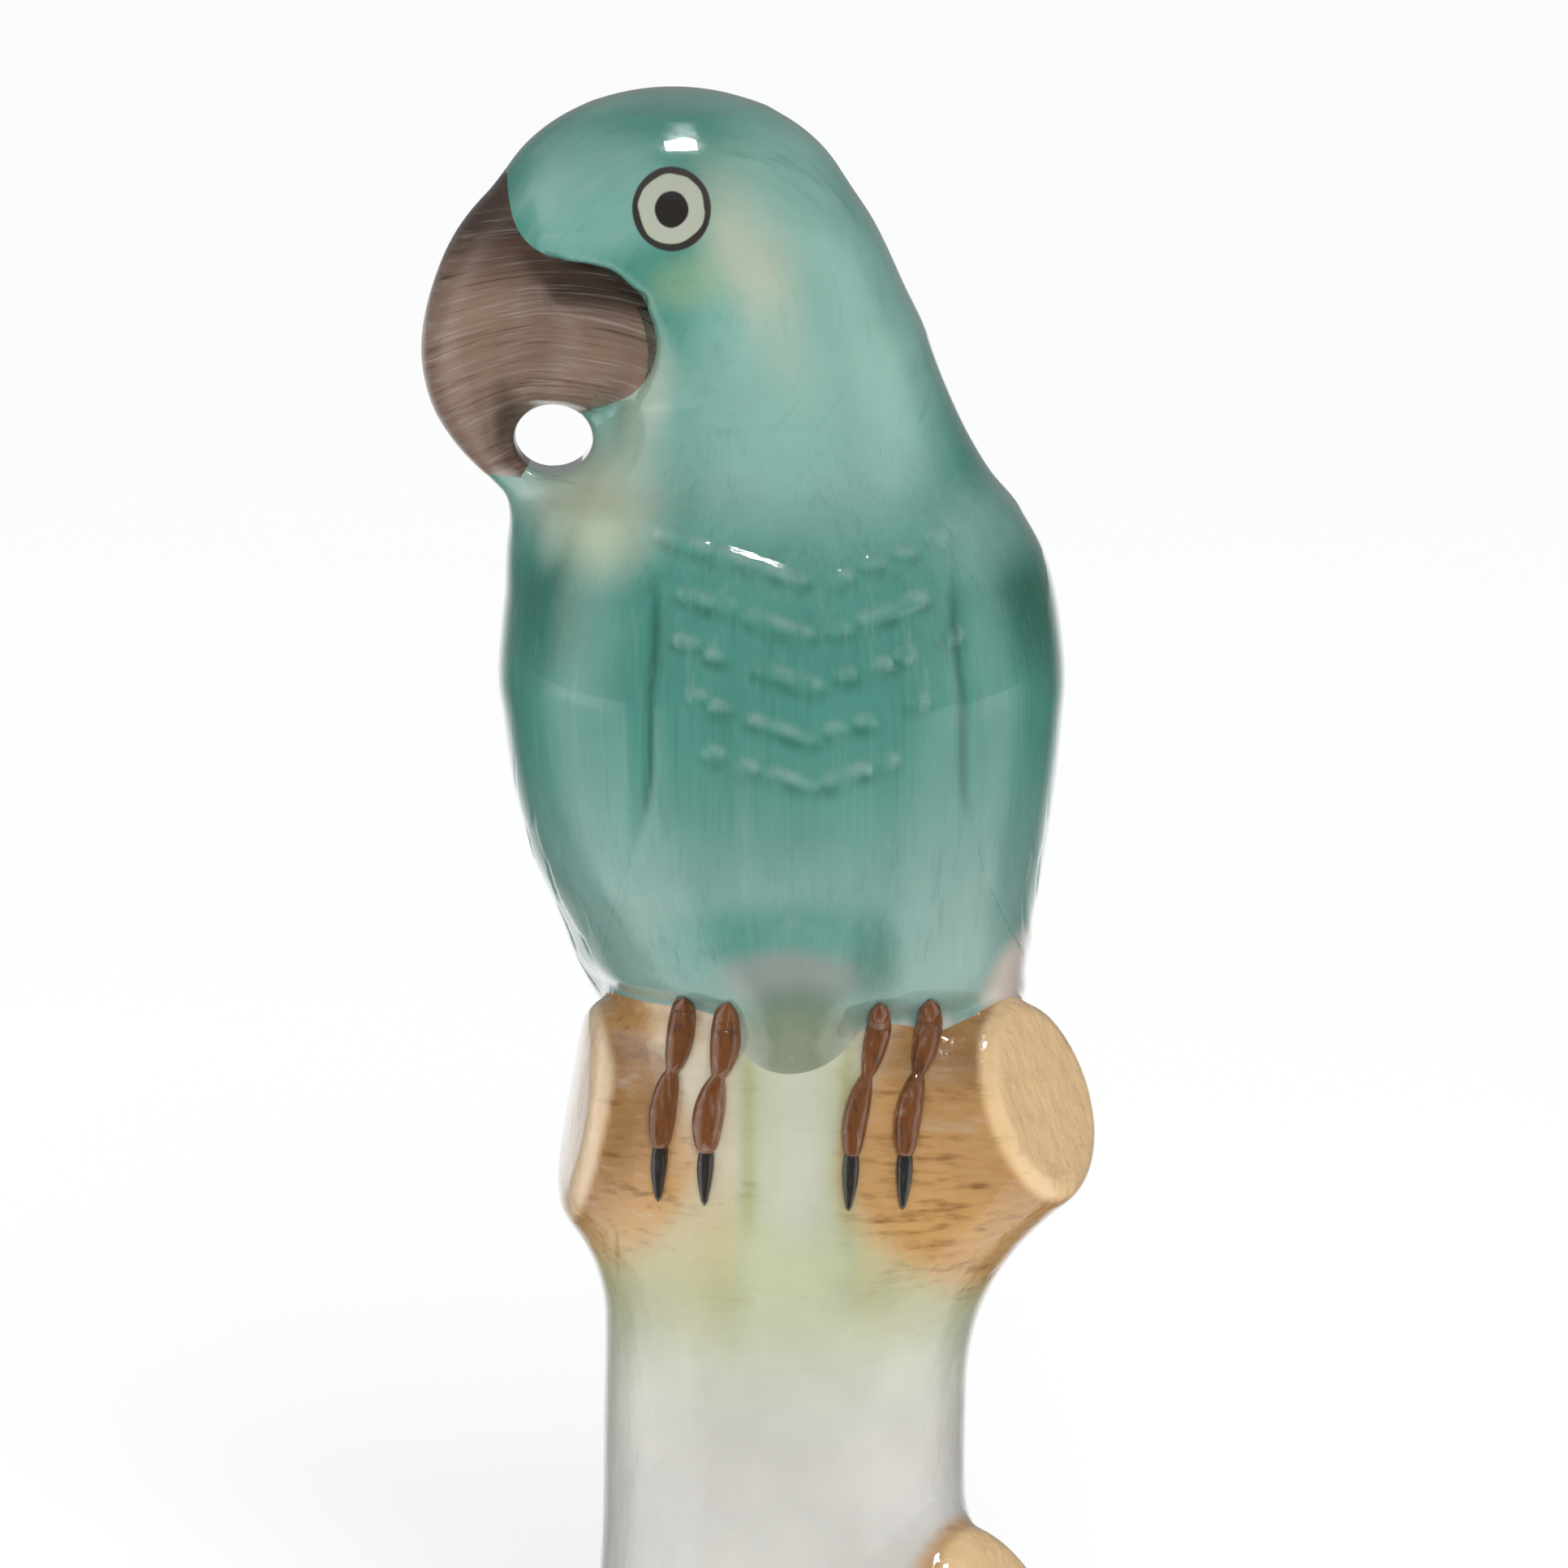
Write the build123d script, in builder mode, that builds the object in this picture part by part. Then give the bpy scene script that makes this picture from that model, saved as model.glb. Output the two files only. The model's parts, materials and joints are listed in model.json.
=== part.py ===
"""Porcelain parrot on a tree trunk, as the separate clay castings that are luted together before firing.

Units are millimetres. +Z is up and the bird's breast faces -Y. Left and right are as seen from the front.
The origin is the centre of the base's underside. Every casting is its own solid and meets its neighbours
face to face along the luting seams. The figure is rigid: nothing on it moves.
"""

from build123d import *

import os

# ---- driving dimensions ----
TOTAL_HEIGHT = 132.0
BASE_WIDTH = 54.0
BASE_DEPTH = 50.0
BASE_TOP = 8.0
TRUNK_WIDTH = 24.6
TRUNK_TOP = 72.5
PERCH_HEIGHT = 62.0
NECK_SEAM = 110.0
WALL = 3.0
VENT_RADIUS = 2.2

# ---- worked out from the driving dimensions ----
TRUNK_R = TRUNK_WIDTH / 2
PERCH_R = TRUNK_R + 1.2
PERCH_HALF_DEPTH = TRUNK_R + 0.6
PERCH_CENTRE_X, PERCH_CENTRE_Y = 0.6, -0.4
HEAD_RADII = (12.6, 9.4, 9.6)
HEAD_CENTRE = (-7.6, -1.0, TOTAL_HEIGHT - HEAD_RADII[2])
FOOT_RING_WIDTH = 4.0
FOOT_RECESS = 1.4
BASE_LEDGE = 3.0
REACH = 40.0


def level_loft(stations, inset=0.0):
    """A smooth skin through level ellipses, each given as (z, x centre, y centre, x radius, y radius)."""
    with BuildPart() as skin:
        for z, cx, cy, rx, ry in stations:
            with BuildSketch(Plane.XY.offset(z)):
                with Locations((cx, cy)):
                    Ellipse(rx - inset, ry - inset)
        loft()
    return skin.part


def limb_loft(stations):
    """A smooth skin through ovals square to a path, each given as (centre, direction, width, half depth)."""
    with BuildPart() as skin:
        for centre, direction, half_width, half_depth in stations:
            with BuildSketch(Plane(origin=centre, x_dir=(0, 1, 0), z_dir=direction)):
                Ellipse(half_depth, half_width)
        loft()
    return skin.part


def ellipsoid(centre, radii, tilt=(0, 0, 0)):
    """A ball stretched to three radii, turned by tilt and moved to its centre."""
    ball = scale(Sphere(1, mode=Mode.PRIVATE), by=radii, mode=Mode.PRIVATE)
    return Location(centre, tilt) * ball


def finish(casting, name):
    """Labels a casting and writes its STEP file."""
    casting.label = name
    export_step(casting, f"parts/{name}.step")


# ---- whole outer forms, which overlap; the castings further down are cut from these ----

# The trunk narrows above its flared foot, then swells into the perch that the bird stands on.
TRUNK_STATIONS = [
    (BASE_TOP - BASE_LEDGE, 0.0, 0.0, TRUNK_R + 5.4, TRUNK_R + 4.4),
    (BASE_TOP + 4.0, 0.0, 0.0, TRUNK_R + 2.6, TRUNK_R + 1.4),
    (24.0, 0.0, 0.0, TRUNK_R + 0.9, TRUNK_R - 0.2),
    (34.0, 0.1, 0.0, TRUNK_R + 0.3, TRUNK_R - 0.8),
    (44.0, 0.1, 0.0, TRUNK_R + 0.0, TRUNK_R - 1.0),
    (51.0, 0.4, -0.2, TRUNK_R + 0.5, TRUNK_R - 0.7),
    (57.0, PERCH_CENTRE_X, PERCH_CENTRE_Y, TRUNK_R + 1.1, TRUNK_R + 0.3),
    (PERCH_HEIGHT, PERCH_CENTRE_X, PERCH_CENTRE_Y, PERCH_R, PERCH_HALF_DEPTH),
    (67.0, 0.4, -0.2, TRUNK_R + 0.2, TRUNK_R - 0.5),
    (70.5, 0.2, 0.0, TRUNK_R - 2.6, TRUNK_R - 3.2),
    (TRUNK_TOP, 0.2, 0.0, TRUNK_R - 6.5, TRUNK_R - 7.0),
]
with BuildPart() as trunk_form:
    add(level_loft(TRUNK_STATIONS))
    # A rounded rib runs down the front between the two feet.
    add(ellipsoid((1.2, -10.4, 58.5), (3.4, 3.2, 11.5), (-3, 0, 0)))

# Torso and neck; the flank leans out to the right low down, above the right-hand stub.
TORSO_STATIONS = [
    (67.6, 1.4, -1.5, 9.0, 8.6),
    (69.5, 1.8, -1.2, 13.0, 12.4),
    (73.5, 1.3, -0.9, 14.9, 14.4),
    (79.0, 0.4, -0.8, 16.3, 15.8),
    (86.0, 0.0, -0.7, 17.0, 16.6),
    (93.0, 0.0, -0.5, 17.2, 16.4),
    (99.0, -0.3, -0.2, 16.8, 15.4),
    (103.0, -0.9, 0.0, 16.0, 13.8),
    (106.6, -0.6, 0.0, 13.4, 12.0),
    (NECK_SEAM, -0.1, -0.2, 11.6, 10.8),
]
with BuildPart() as torso_form:
    add(level_loft(TORSO_STATIONS))
    # The vent feathers bulge over the front of the perch between the feet.
    add(ellipsoid((1.0, -9.0, 71.0), (5.6, 5.4, 4.6)))
    # The shoulder that the tip of the beak rests on.
    add(ellipsoid((-14.2, -0.5, 101.8), (4.3, 6.6, 4.5), (0, -15, 0)))

# Neck and cheek above the seam; the right side carries the line of the nape up to the crown.
NECK_STATIONS = [
    (NECK_SEAM, -0.1, -0.2, 11.6, 10.8),
    (113.6, -0.6, -0.4, 10.8, 10.0),
    (118.0, -1.8, -0.6, 10.3, 9.0),
    (122.4, -2.4, -0.8, 8.9, 7.8),
    (126.0, -2.9, -0.8, 6.6, 6.0),
]
with BuildPart() as head_form:
    add(level_loft(NECK_STATIONS))
    # The ball is turned half round, so that its seam lies in front.
    add(ellipsoid(HEAD_CENTRE, HEAD_RADII, (0, 0, 180)))
    split(bisect_by=Plane.XY.offset(NECK_SEAM), keep=Keep.TOP)

# The hooked upper beak, from its root in the face round to the tip on the shoulder.
UPPER_BEAK_STATIONS = [
    ((-13.6, -1.0, 121.2), (-1.0, 0, 0.05), 4.9, 4.6),
    ((-18.2, -1.0, 119.9), (-0.86, 0, -0.5), 5.2, 4.6),
    ((-20.1, -1.0, 115.8), (-0.2, 0, -0.98), 4.3, 4.1),
    ((-20.5, -1.0, 111.6), (0.1, 0, -1.0), 3.6, 3.5),
    ((-19.9, -1.0, 108.3), (0.5, 0, -0.87), 2.4, 2.6),
    ((-18.2, -1.0, 106.0), (0.85, 0, -0.52), 1.2, 1.4),
]
upper_beak_form = limb_loft(UPPER_BEAK_STATIONS)
lower_beak_form = ellipsoid((-12.6, -1.0, 114.2), (4.6, 4.5, 4.3), (0, -25, 0))

# The gap that the light shows through, between beak, chin and shoulder.
BEAK_GAP_CENTRE = (-15.5, 108.5)
BEAK_GAP_RADII = (2.6, 2.3)
with BuildPart() as beak_gap:
    with BuildSketch(Plane.XZ):
        with Locations(BEAK_GAP_CENTRE):
            Ellipse(*BEAK_GAP_RADII)
    extrude(amount=REACH, both=True)

# Branch stubs: short tapered stumps that leave the trunk at a slant and end in a sawn face.
# Each is (root centre, end centre, sawn face's outward direction, root radius, end radius).
STUBS = {
    "right_perch_stub": ((2.5, -1.2, 54.6), (17.9, -8.6, 62.6), (0.84, -0.51, 0.17), 7.7, 7.1),
    "left_perch_stub": ((-1.0, -0.4, 56.0), (-14.2, -2.4, 61.7), (-0.95, -0.2, 0.24), 7.4, 6.9),
    "lower_stub": ((3.0, -1.0, 19.0), (15.4, -7.4, 28.2), (0.75, -0.5, 0.43), 6.6, 6.0),
}


def stub_form(root, end, facing, root_radius, end_radius):
    """A stump whose axis runs from root to end, sawn off square to the facing direction."""
    with BuildPart() as stump:
        with BuildSketch(Plane(origin=root, z_dir=Vector(end) - Vector(root))):
            Circle(root_radius)
        with BuildSketch(Plane(origin=end, z_dir=facing)):
            Circle(end_radius)
        loft()
    return stump.part


stub_forms = {name: stub_form(*sizes) for name, sizes in STUBS.items()}

# Wings: a second skin over the torso's flanks, drawn in to a folded tip low on the back.
WING_TOP, WING_TIP = 106.5, 61.5
WING_SKIN_STATIONS = [
    (59.0, 0.0, 10.0, 9.0, 5.2),
    (65.0, 0.6, 5.2, 14.0, 10.4),
    (71.0, 0.8, 1.6, 16.0, 14.8),
    (77.0, 0.5, 0.2, 17.4, 16.8),
    (84.0, 0.1, -0.2, 18.7, 17.6),
    (92.0, -0.1, -0.2, 19.2, 17.6),
    (98.0, -0.2, 0.0, 18.7, 16.8),
    (102.0, -0.8, 0.2, 17.2, 15.2),
    (106.0, -0.8, 0.4, 14.6, 12.8),
]
wing_skin = level_loft(WING_SKIN_STATIONS)


def wing_outline():
    """A folded wing seen from the side, as a slab through the whole bird: shoulder in front, tip behind."""
    with BuildPart() as slab:
        with BuildSketch(Plane.YZ):
            with BuildLine():
                front_edge = Spline(
                    (-3.0, WING_TOP), (-10.6, 101.5), (-13.4, 92.0),
                    (-10.0, 81.0), (-1.5, 71.0), (9.0, WING_TIP),
                    tangents=((-1.0, -0.1), (0.8, -0.7)),
                )
                Polyline(front_edge @ 1, (REACH, WING_TIP), (REACH, WING_TOP), front_edge @ 0)
            make_face()
        extrude(amount=REACH, both=True)
    return slab.part


WING_GAP_AT_BACK = 1.4
wing_slab = wing_outline()
WING_SIDES = {"left_wing": -1, "right_wing": 1}


def wing_half_space(side):
    """Everything on one side of the back's centre line."""
    with BuildPart() as half:
        with BuildSketch(Plane.XY.offset(WING_TIP - WALL)):
            with Locations((side * (WING_GAP_AT_BACK + REACH / 2), 0)):
                Rectangle(REACH, 2 * REACH)
        extrude(amount=2 * REACH)
    return half.part


# The tail hangs down the back of the trunk, below the folded wings.
TAIL_STATIONS = [
    (32.0, 0.0, 13.0, 2.2, 1.2),
    (37.0, 0.0, 12.8, 4.8, 2.4),
    (46.0, 0.0, 12.2, 6.6, 3.4),
    (56.0, 0.0, 12.0, 7.8, 4.4),
    (66.0, 0.0, 11.6, 8.8, 5.4),
    (76.0, 0.0, 10.6, 9.2, 5.6),
]
tail_form = level_loft(TAIL_STATIONS)

# Front toes: two round pads each, gripping the perch. Each is (x at the top, x at the claw).
TOES = {
    "left_outer_toe": (-6.4, -8.4),
    "left_inner_toe": (-3.8, -5.0),
    "right_inner_toe": (6.0, 4.5),
    "right_outer_toe": (9.3, 8.0),
}
TOE_TOP, TOE_WAIST, TOE_END, CLAW_END = 70.0, 64.9, 59.4, 56.2
TOE_WIDTH, TOE_DEPTH = 1.3, 2.1
TOE_LAP = 0.4
TOE_LEAN = 2.7
CLAW_WIDTH, CLAW_DEPTH = 0.8, 1.5
CLAW_LAP, CLAW_LEAN = 0.8, 12
PERCH_DRAFT = 0.028


def perch_front(x, z):
    """The y coordinate of the perch's front: the trunk's, or the right-hand stub's where that is proud."""
    swell = PERCH_HALF_DEPTH * (1 - ((x - PERCH_CENTRE_X) / PERCH_R) ** 2) ** 0.5
    trunk_front = PERCH_CENTRE_Y - swell + PERCH_DRAFT * (z - PERCH_HEIGHT) ** 2
    root, end, _, radius, _ = STUBS["right_perch_stub"]
    along = (x - root[0]) / (end[0] - root[0])
    axis_y = root[1] + (end[1] - root[1]) * along
    axis_z = root[2] + (end[2] - root[2]) * along
    stub_front = axis_y - max(radius ** 2 - (z - axis_z) ** 2, 0) ** 0.5
    return min(trunk_front, stub_front) if x > PERCH_CENTRE_X else trunk_front


def toe_form(x_top, x_end):
    """Two pads, one above the other, each sunk to half its depth in the perch."""
    pads = []
    for high, low in ((TOE_TOP, TOE_WAIST), (TOE_WAIST, TOE_END)):
        middle = (high + low) / 2
        along = (TOE_TOP - middle) / (TOE_TOP - TOE_END)
        x = x_top + (x_end - x_top) * along
        centre = (x, perch_front(x, middle) + TOE_LAP, middle)
        radii = (TOE_WIDTH, TOE_DEPTH, (high - low) / 2 + TOE_LAP)
        pads.append(ellipsoid(centre, radii, (-TOE_LEAN * (middle - PERCH_HEIGHT), 0, 0)))
    with BuildPart() as toe:
        add(pads)
    return toe.part


def claw_form(x_end):
    """A curved nail that leaves the lower pad and points down the trunk."""
    middle = (TOE_END + CLAW_END) / 2
    radii = (CLAW_WIDTH, CLAW_DEPTH, (TOE_END - CLAW_END) / 2 + CLAW_LAP)
    return ellipsoid((x_end, perch_front(x_end, middle), middle), radii, (CLAW_LEAN, 0, 0))


toe_forms = {name: toe_form(*places) for name, places in TOES.items()}
claw_forms = {name.replace("toe", "claw"): claw_form(places[1]) for name, places in TOES.items()}

# ---- hollows left by the poured-out slip ----
TRUNK_HOLLOW_TOP = TRUNK_TOP - WALL
TORSO_HOLLOW_FLOOR = TRUNK_TOP + WALL
trunk_hollow = level_loft([row for row in TRUNK_STATIONS if row[0] < TRUNK_HOLLOW_TOP], WALL)
torso_hollow = level_loft([row for row in TORSO_STATIONS if row[0] > TORSO_HOLLOW_FLOOR], WALL)
HEAD_HOLLOW_STATIONS = [
    (NECK_SEAM, -0.1, -0.2, 11.6, 10.8),
    (114.0, -0.6, -0.5, 9.4, 9.4),
    (118.5, -2.4, -0.8, 9.0, 8.8),
    (123.0, -4.4, -1.0, 8.2, 7.8),
    (TOTAL_HEIGHT - 2 * WALL, -5.2, -1.0, 6.0, 5.4),
]
head_hollow = level_loft(HEAD_HOLLOW_STATIONS, WALL)

# ---- the castings ----
BASE_PROFILE = [(0.0, 1.0), (2.4, 1.0), (5.4, 0.94), (BASE_TOP, 0.80)]
BASE_ROUNDING = 1.2
with BuildPart() as base_mound:
    for height, share in BASE_PROFILE:
        with BuildSketch(Plane.XY.offset(height)):
            Ellipse(BASE_WIDTH / 2 * share, BASE_DEPTH / 2 * share)
    loft(ruled=True)
    fillet(base_mound.faces().sort_by(Axis.Z)[-1].edges(), BASE_ROUNDING)
    # The recess inside the foot ring.
    with BuildSketch(Plane.XY):
        Ellipse(BASE_WIDTH / 2 - FOOT_RING_WIDTH, BASE_DEPTH / 2 - FOOT_RING_WIDTH)
    extrude(amount=FOOT_RECESS, mode=Mode.SUBTRACT)
    # The vent that lets out the kiln's hot air.
    with BuildSketch(Plane.XY):
        Circle(VENT_RADIUS)
    extrude(amount=BASE_TOP, mode=Mode.SUBTRACT)

# The air's way up from the trunk's hollow into the torso's.
with BuildPart() as air_passage:
    with BuildSketch(Plane.XY.offset(PERCH_HEIGHT)):
        Circle(VENT_RADIUS)
    extrude(amount=TORSO_HOLLOW_FLOOR + WALL - PERCH_HEIGHT)

with BuildPart() as trunk:
    add(trunk_form.part)
    add(trunk_hollow, mode=Mode.SUBTRACT)
    add(base_mound.part, mode=Mode.SUBTRACT)
    add(air_passage.part, mode=Mode.SUBTRACT)

with BuildPart() as torso:
    add(torso_form.part)
    add(torso_hollow, mode=Mode.SUBTRACT)
    add(trunk_form.part, mode=Mode.SUBTRACT)
    add([stub_forms["right_perch_stub"], stub_forms["left_perch_stub"]], mode=Mode.SUBTRACT)
    add([upper_beak_form, lower_beak_form, beak_gap.part], mode=Mode.SUBTRACT)
    add(air_passage.part, mode=Mode.SUBTRACT)

with BuildPart() as head:
    add(head_form.part)
    add(head_hollow, mode=Mode.SUBTRACT)
    add([upper_beak_form, lower_beak_form, beak_gap.part], mode=Mode.SUBTRACT)

with BuildPart() as upper_beak:
    add(upper_beak_form)
    add(beak_gap.part, mode=Mode.SUBTRACT)
    add(head_hollow, mode=Mode.SUBTRACT)

with BuildPart() as lower_beak:
    add(lower_beak_form)
    add([upper_beak_form, beak_gap.part, head_hollow], mode=Mode.SUBTRACT)

os.makedirs("parts", exist_ok=True)
finish(base_mound.part, "base_mound")
finish(trunk.part, "trunk")
finish(torso.part, "torso")
finish(head.part, "head")
finish(upper_beak.part, "upper_beak")
finish(lower_beak.part, "lower_beak")

for name, form in stub_forms.items():
    with BuildPart() as stub:
        add(form)
        add([trunk_form.part, trunk_hollow], mode=Mode.SUBTRACT)
    finish(stub.part, name)

for name, side in WING_SIDES.items():
    with BuildPart() as wing:
        add(wing_skin)
        add(wing_slab, mode=Mode.INTERSECT)
        add(wing_half_space(side), mode=Mode.INTERSECT)
        add([torso_form.part, trunk_form.part, upper_beak_form, beak_gap.part], mode=Mode.SUBTRACT)
        add(list(stub_forms.values()), mode=Mode.SUBTRACT)
    finish(wing.part, name)

with BuildPart() as tail:
    add(tail_form)
    add([trunk_form.part, torso_form.part, wing_skin], mode=Mode.SUBTRACT)
finish(tail.part, "tail")

for name, form in toe_forms.items():
    with BuildPart() as toe:
        add(form)
        add([trunk_form.part, torso_form.part, *stub_forms.values()], mode=Mode.SUBTRACT)
    finish(toe.part, name)

for name, form in claw_forms.items():
    with BuildPart() as claw:
        add(form)
        add(toe_forms[name.replace("claw", "toe")], mode=Mode.SUBTRACT)
        add([trunk_form.part, *stub_forms.values()], mode=Mode.SUBTRACT)
    finish(claw.part, name)
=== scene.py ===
"""Looks of a hand-painted porcelain parrot on a tree trunk.

The glazed skin is worked as one soft lump of clay, so that the glaze runs over the seams, and is then cut
into the castings that the frame names. Sizes inside the classes are millimetres in the frame's own axes.
"""
from __future__ import annotations

import json
import logging
import math
from collections.abc import Callable
from dataclasses import dataclass, field
from enum import Enum, IntEnum

import bpy
import numpy as np
import openvdb as vdb
from mathutils import Euler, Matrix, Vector
from mathutils.bvhtree import BVHTree

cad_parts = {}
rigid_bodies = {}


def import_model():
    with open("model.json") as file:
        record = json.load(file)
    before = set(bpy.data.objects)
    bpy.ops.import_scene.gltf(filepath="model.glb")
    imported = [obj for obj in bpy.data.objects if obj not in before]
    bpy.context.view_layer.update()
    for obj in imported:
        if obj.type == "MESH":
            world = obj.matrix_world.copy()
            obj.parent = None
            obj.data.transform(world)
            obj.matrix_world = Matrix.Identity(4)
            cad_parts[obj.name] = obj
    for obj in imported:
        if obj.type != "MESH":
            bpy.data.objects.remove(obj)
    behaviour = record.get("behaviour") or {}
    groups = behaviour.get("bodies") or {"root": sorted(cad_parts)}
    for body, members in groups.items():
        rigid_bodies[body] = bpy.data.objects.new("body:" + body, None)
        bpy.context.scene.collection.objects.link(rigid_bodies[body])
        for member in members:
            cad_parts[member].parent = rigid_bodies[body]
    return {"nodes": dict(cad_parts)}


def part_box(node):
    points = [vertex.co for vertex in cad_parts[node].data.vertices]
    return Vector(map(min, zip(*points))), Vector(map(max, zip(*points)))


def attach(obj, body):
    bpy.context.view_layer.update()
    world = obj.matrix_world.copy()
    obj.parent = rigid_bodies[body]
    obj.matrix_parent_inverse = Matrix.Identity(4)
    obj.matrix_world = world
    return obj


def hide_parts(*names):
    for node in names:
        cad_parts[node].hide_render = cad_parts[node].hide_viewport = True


LOG = logging.getLogger("parrot")
MM = 0.001
BODY = "root"
CLOSE = 1e-4
Array = np.ndarray
Field = Callable[[Array, Array, Array], Array]
Socket = bpy.types.NodeSocket
Material = bpy.types.Material
Thing = bpy.types.Object
Pair = tuple[float, float]
Triple = tuple[float, float, float]


# ------------------------------------------------ clay: fields that say how far inside a place is

def soft_union(a: Array, b: Array, blend: float) -> Array:
    """Joins two forms, with a fillet about as wide as blend between them."""
    h = np.maximum(blend - np.abs(a - b), 0.0) / blend
    return np.minimum(a, b) - h * h * blend / 4


def soft_cut(a: Array, tool: Array, blend: float) -> Array:
    """Takes the tool away from a form, with a rounded edge about as wide as blend."""
    h = np.maximum(blend - np.abs(a + tool), 0.0) / blend
    return np.maximum(a, -tool) + h * h * blend / 4


def fade(low: float, high: float, value: Array) -> Array:
    """0 at low, 1 at high, with an even start and end. low may be the larger."""
    t = np.clip((value - low) / (high - low), 0.0, 1.0)
    return t * t * (3 - 2 * t)


def flow(at: Array, places: Array, values: Array) -> Array:
    """A smooth curve through values at places that doesn't overshoot, read at the given positions.

    Args:
        at: Positions to read the curve at.
        places: Where the values are given, rising.
        values: The values there.

    Returns:
        The curve's value at each position.
    """
    steps = np.diff(places)
    slopes = np.diff(values) / steps
    before, after = slopes[:-1], slopes[1:]
    inner = np.where(before * after > 0, 2 * before * after / (before + after + 1e-9), 0)
    tangents = np.concatenate(([slopes[0]], inner, [slopes[-1]]))
    cell = np.clip(np.searchsorted(places, at) - 1, 0, len(places) - 2)
    t = np.clip((at - places[cell]) / steps[cell], 0.0, 1.0)
    run = steps[cell]
    return (
        (2 * t**3 - 3 * t**2 + 1) * values[cell] + (t**3 - 2 * t**2 + t) * run * tangents[cell]
        + (3 * t**2 - 2 * t**3) * values[cell + 1] + (t**3 - t**2) * run * tangents[cell + 1]
    )


def oval_distance(parts: tuple[Array, ...], radii: tuple[Array | float, ...]) -> Array:
    """Signed distance from an oval in two or three dimensions, negative inside.

    Args:
        parts: Offsets from the middle, one way each.
        radii: Half sizes, one way each.

    Returns:
        The distance at each place.
    """
    near = np.sqrt(sum((part / radius) ** 2 for part, radius in zip(parts, radii)))
    steep = np.sqrt(sum((part / radius**2) ** 2 for part, radius in zip(parts, radii))) + 1e-6
    return near * (near - 1) / steep


def off_segment(x: Array, z: Array, start: Pair, end: Pair) -> tuple[Array, Array]:
    """How far places lie from the nearest point of a straight line in the frontal plane.

    Args:
        x, z: Places in millimetres.
        start, end: Both ends of the line.

    Returns:
        The offsets in x and in z.
    """
    ex, ez = end[0] - start[0], end[1] - start[1]
    dx, dz = x - start[0], z - start[1]
    t = np.clip((dx * ex + dz * ez) / (ex * ex + ez * ez + 1e-12), 0, 1)
    return dx - t * ex, dz - t * ez


@dataclass
class Station:
    """One level of an upright form: its height, centre and half sizes."""

    z: float
    x: float
    y: float
    half_width: float
    half_depth: float


@dataclass
class UprightForm:
    """A form that stands up through level ellipses, such as the trunk or the torso."""

    stations: list[Station]

    @classmethod
    def above(cls, foot: float, rows: list[tuple[float, ...]]) -> "UprightForm":
        """A form from rows of height above its foot, middle x and y, half width and half depth."""
        return cls([Station(foot + height, *sizes) for height, *sizes in rows])

    def column(self, name: str) -> Array:
        """One size of every station, from the lowest up."""
        return np.array([getattr(station, name) for station in self.stations])

    def field(self, x: Array, y: Array, z: Array) -> Array:
        """Signed distance of places from the form, negative inside.

        Args:
            x, y, z: Places in millimetres.

        Returns:
            The distance at each place.
        """
        heights = self.column("z")
        levels = np.unique(z)
        sizes = {
            name: np.interp(z, levels, flow(levels, heights, self.column(name)))
            for name in ("x", "y", "half_width", "half_depth")
        }
        dx, dy = x - sizes["x"], y - sizes["y"]
        side = oval_distance((dx, dy), (sizes["half_width"], sizes["half_depth"]))
        return np.maximum(side, np.maximum(z - heights[-1], heights[0] - z))


def ball_field(x: Array, y: Array, z: Array, centre: tuple, radii: tuple, lean: float = 0.0) -> Array:
    """Signed distance from an egg that leans by an angle in degrees in the frontal plane.

    Args:
        x, y, z: Places in millimetres.
        centre: The egg's middle.
        radii: Its half sizes.
        lean: How far it leans, in degrees.

    Returns:
        The distance at each place.
    """
    c, s = math.cos(math.radians(lean)), math.sin(math.radians(lean))
    dx, dy, dz = x - centre[0], y - centre[1], z - centre[2]
    return oval_distance((c * dx + s * dz, dy, c * dz - s * dx), radii)


@dataclass
class Outline:
    """A closed smooth outline in the frontal plane, through (x, z) points."""

    points: list[Pair]
    steps: int = 8

    def polygon(self) -> Array:
        """The outline as a fine polygon, by a closed Catmull-Rom curve.

        Returns:
            Its corners, one row each.
        """
        p = np.array(self.points)
        before, after, beyond = np.roll(p, 1, 0), np.roll(p, -1, 0), np.roll(p, -2, 0)
        t = (np.arange(self.steps) / self.steps)[None, :, None]
        p, before, after, beyond = (a[:, None, :] for a in (p, before, after, beyond))
        curve = 0.5 * (2 * p + (after - before) * t + (2 * before - 5 * p + 4 * after - beyond) * t**2
                       + (3 * p - before - 3 * after + beyond) * t**3)
        return curve.reshape(-1, 2)

    def field(self, x: Array, z: Array) -> Array:
        """Signed distance from the outline, negative inside, at broadcast places.

        Args:
            x, z: Places in millimetres.

        Returns:
            The distance at each place.
        """
        x, z = np.broadcast_arrays(x, z)
        best = np.full(x.shape, 1e9)
        inside = np.zeros(x.shape, bool)
        corners = self.polygon()
        for (ax, az), (bx, bz) in zip(corners, np.roll(corners, -1, 0)):
            off_x, off_z = off_segment(x, z, (ax, az), (bx, bz))
            best = np.minimum(best, off_x**2 + off_z**2)
            crosses = (az > z) != (bz > z)
            inside ^= crosses & (x < ax + (z - az) * (bx - ax) / (bz - az or 1e-12))
        return np.where(inside, -1, 1) * np.sqrt(best)


def swelled(edge: Array, y: Array, round_over: Array, half_depth: Array) -> Array:
    """A flat outline swelled out to both sides, as a pad with a rounded edge.

    Args:
        edge: Distance from the outline in its plane, negative inside.
        y: Distance from that plane.
        round_over: How far in from the edge the rounding reaches.
        half_depth: Half of the pad's thickness.

    Returns:
        Signed distance from the pad.
    """
    inward = np.maximum(edge + round_over, 0)
    return np.sqrt(inward**2 + (y * round_over / half_depth) ** 2) - round_over


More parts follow.
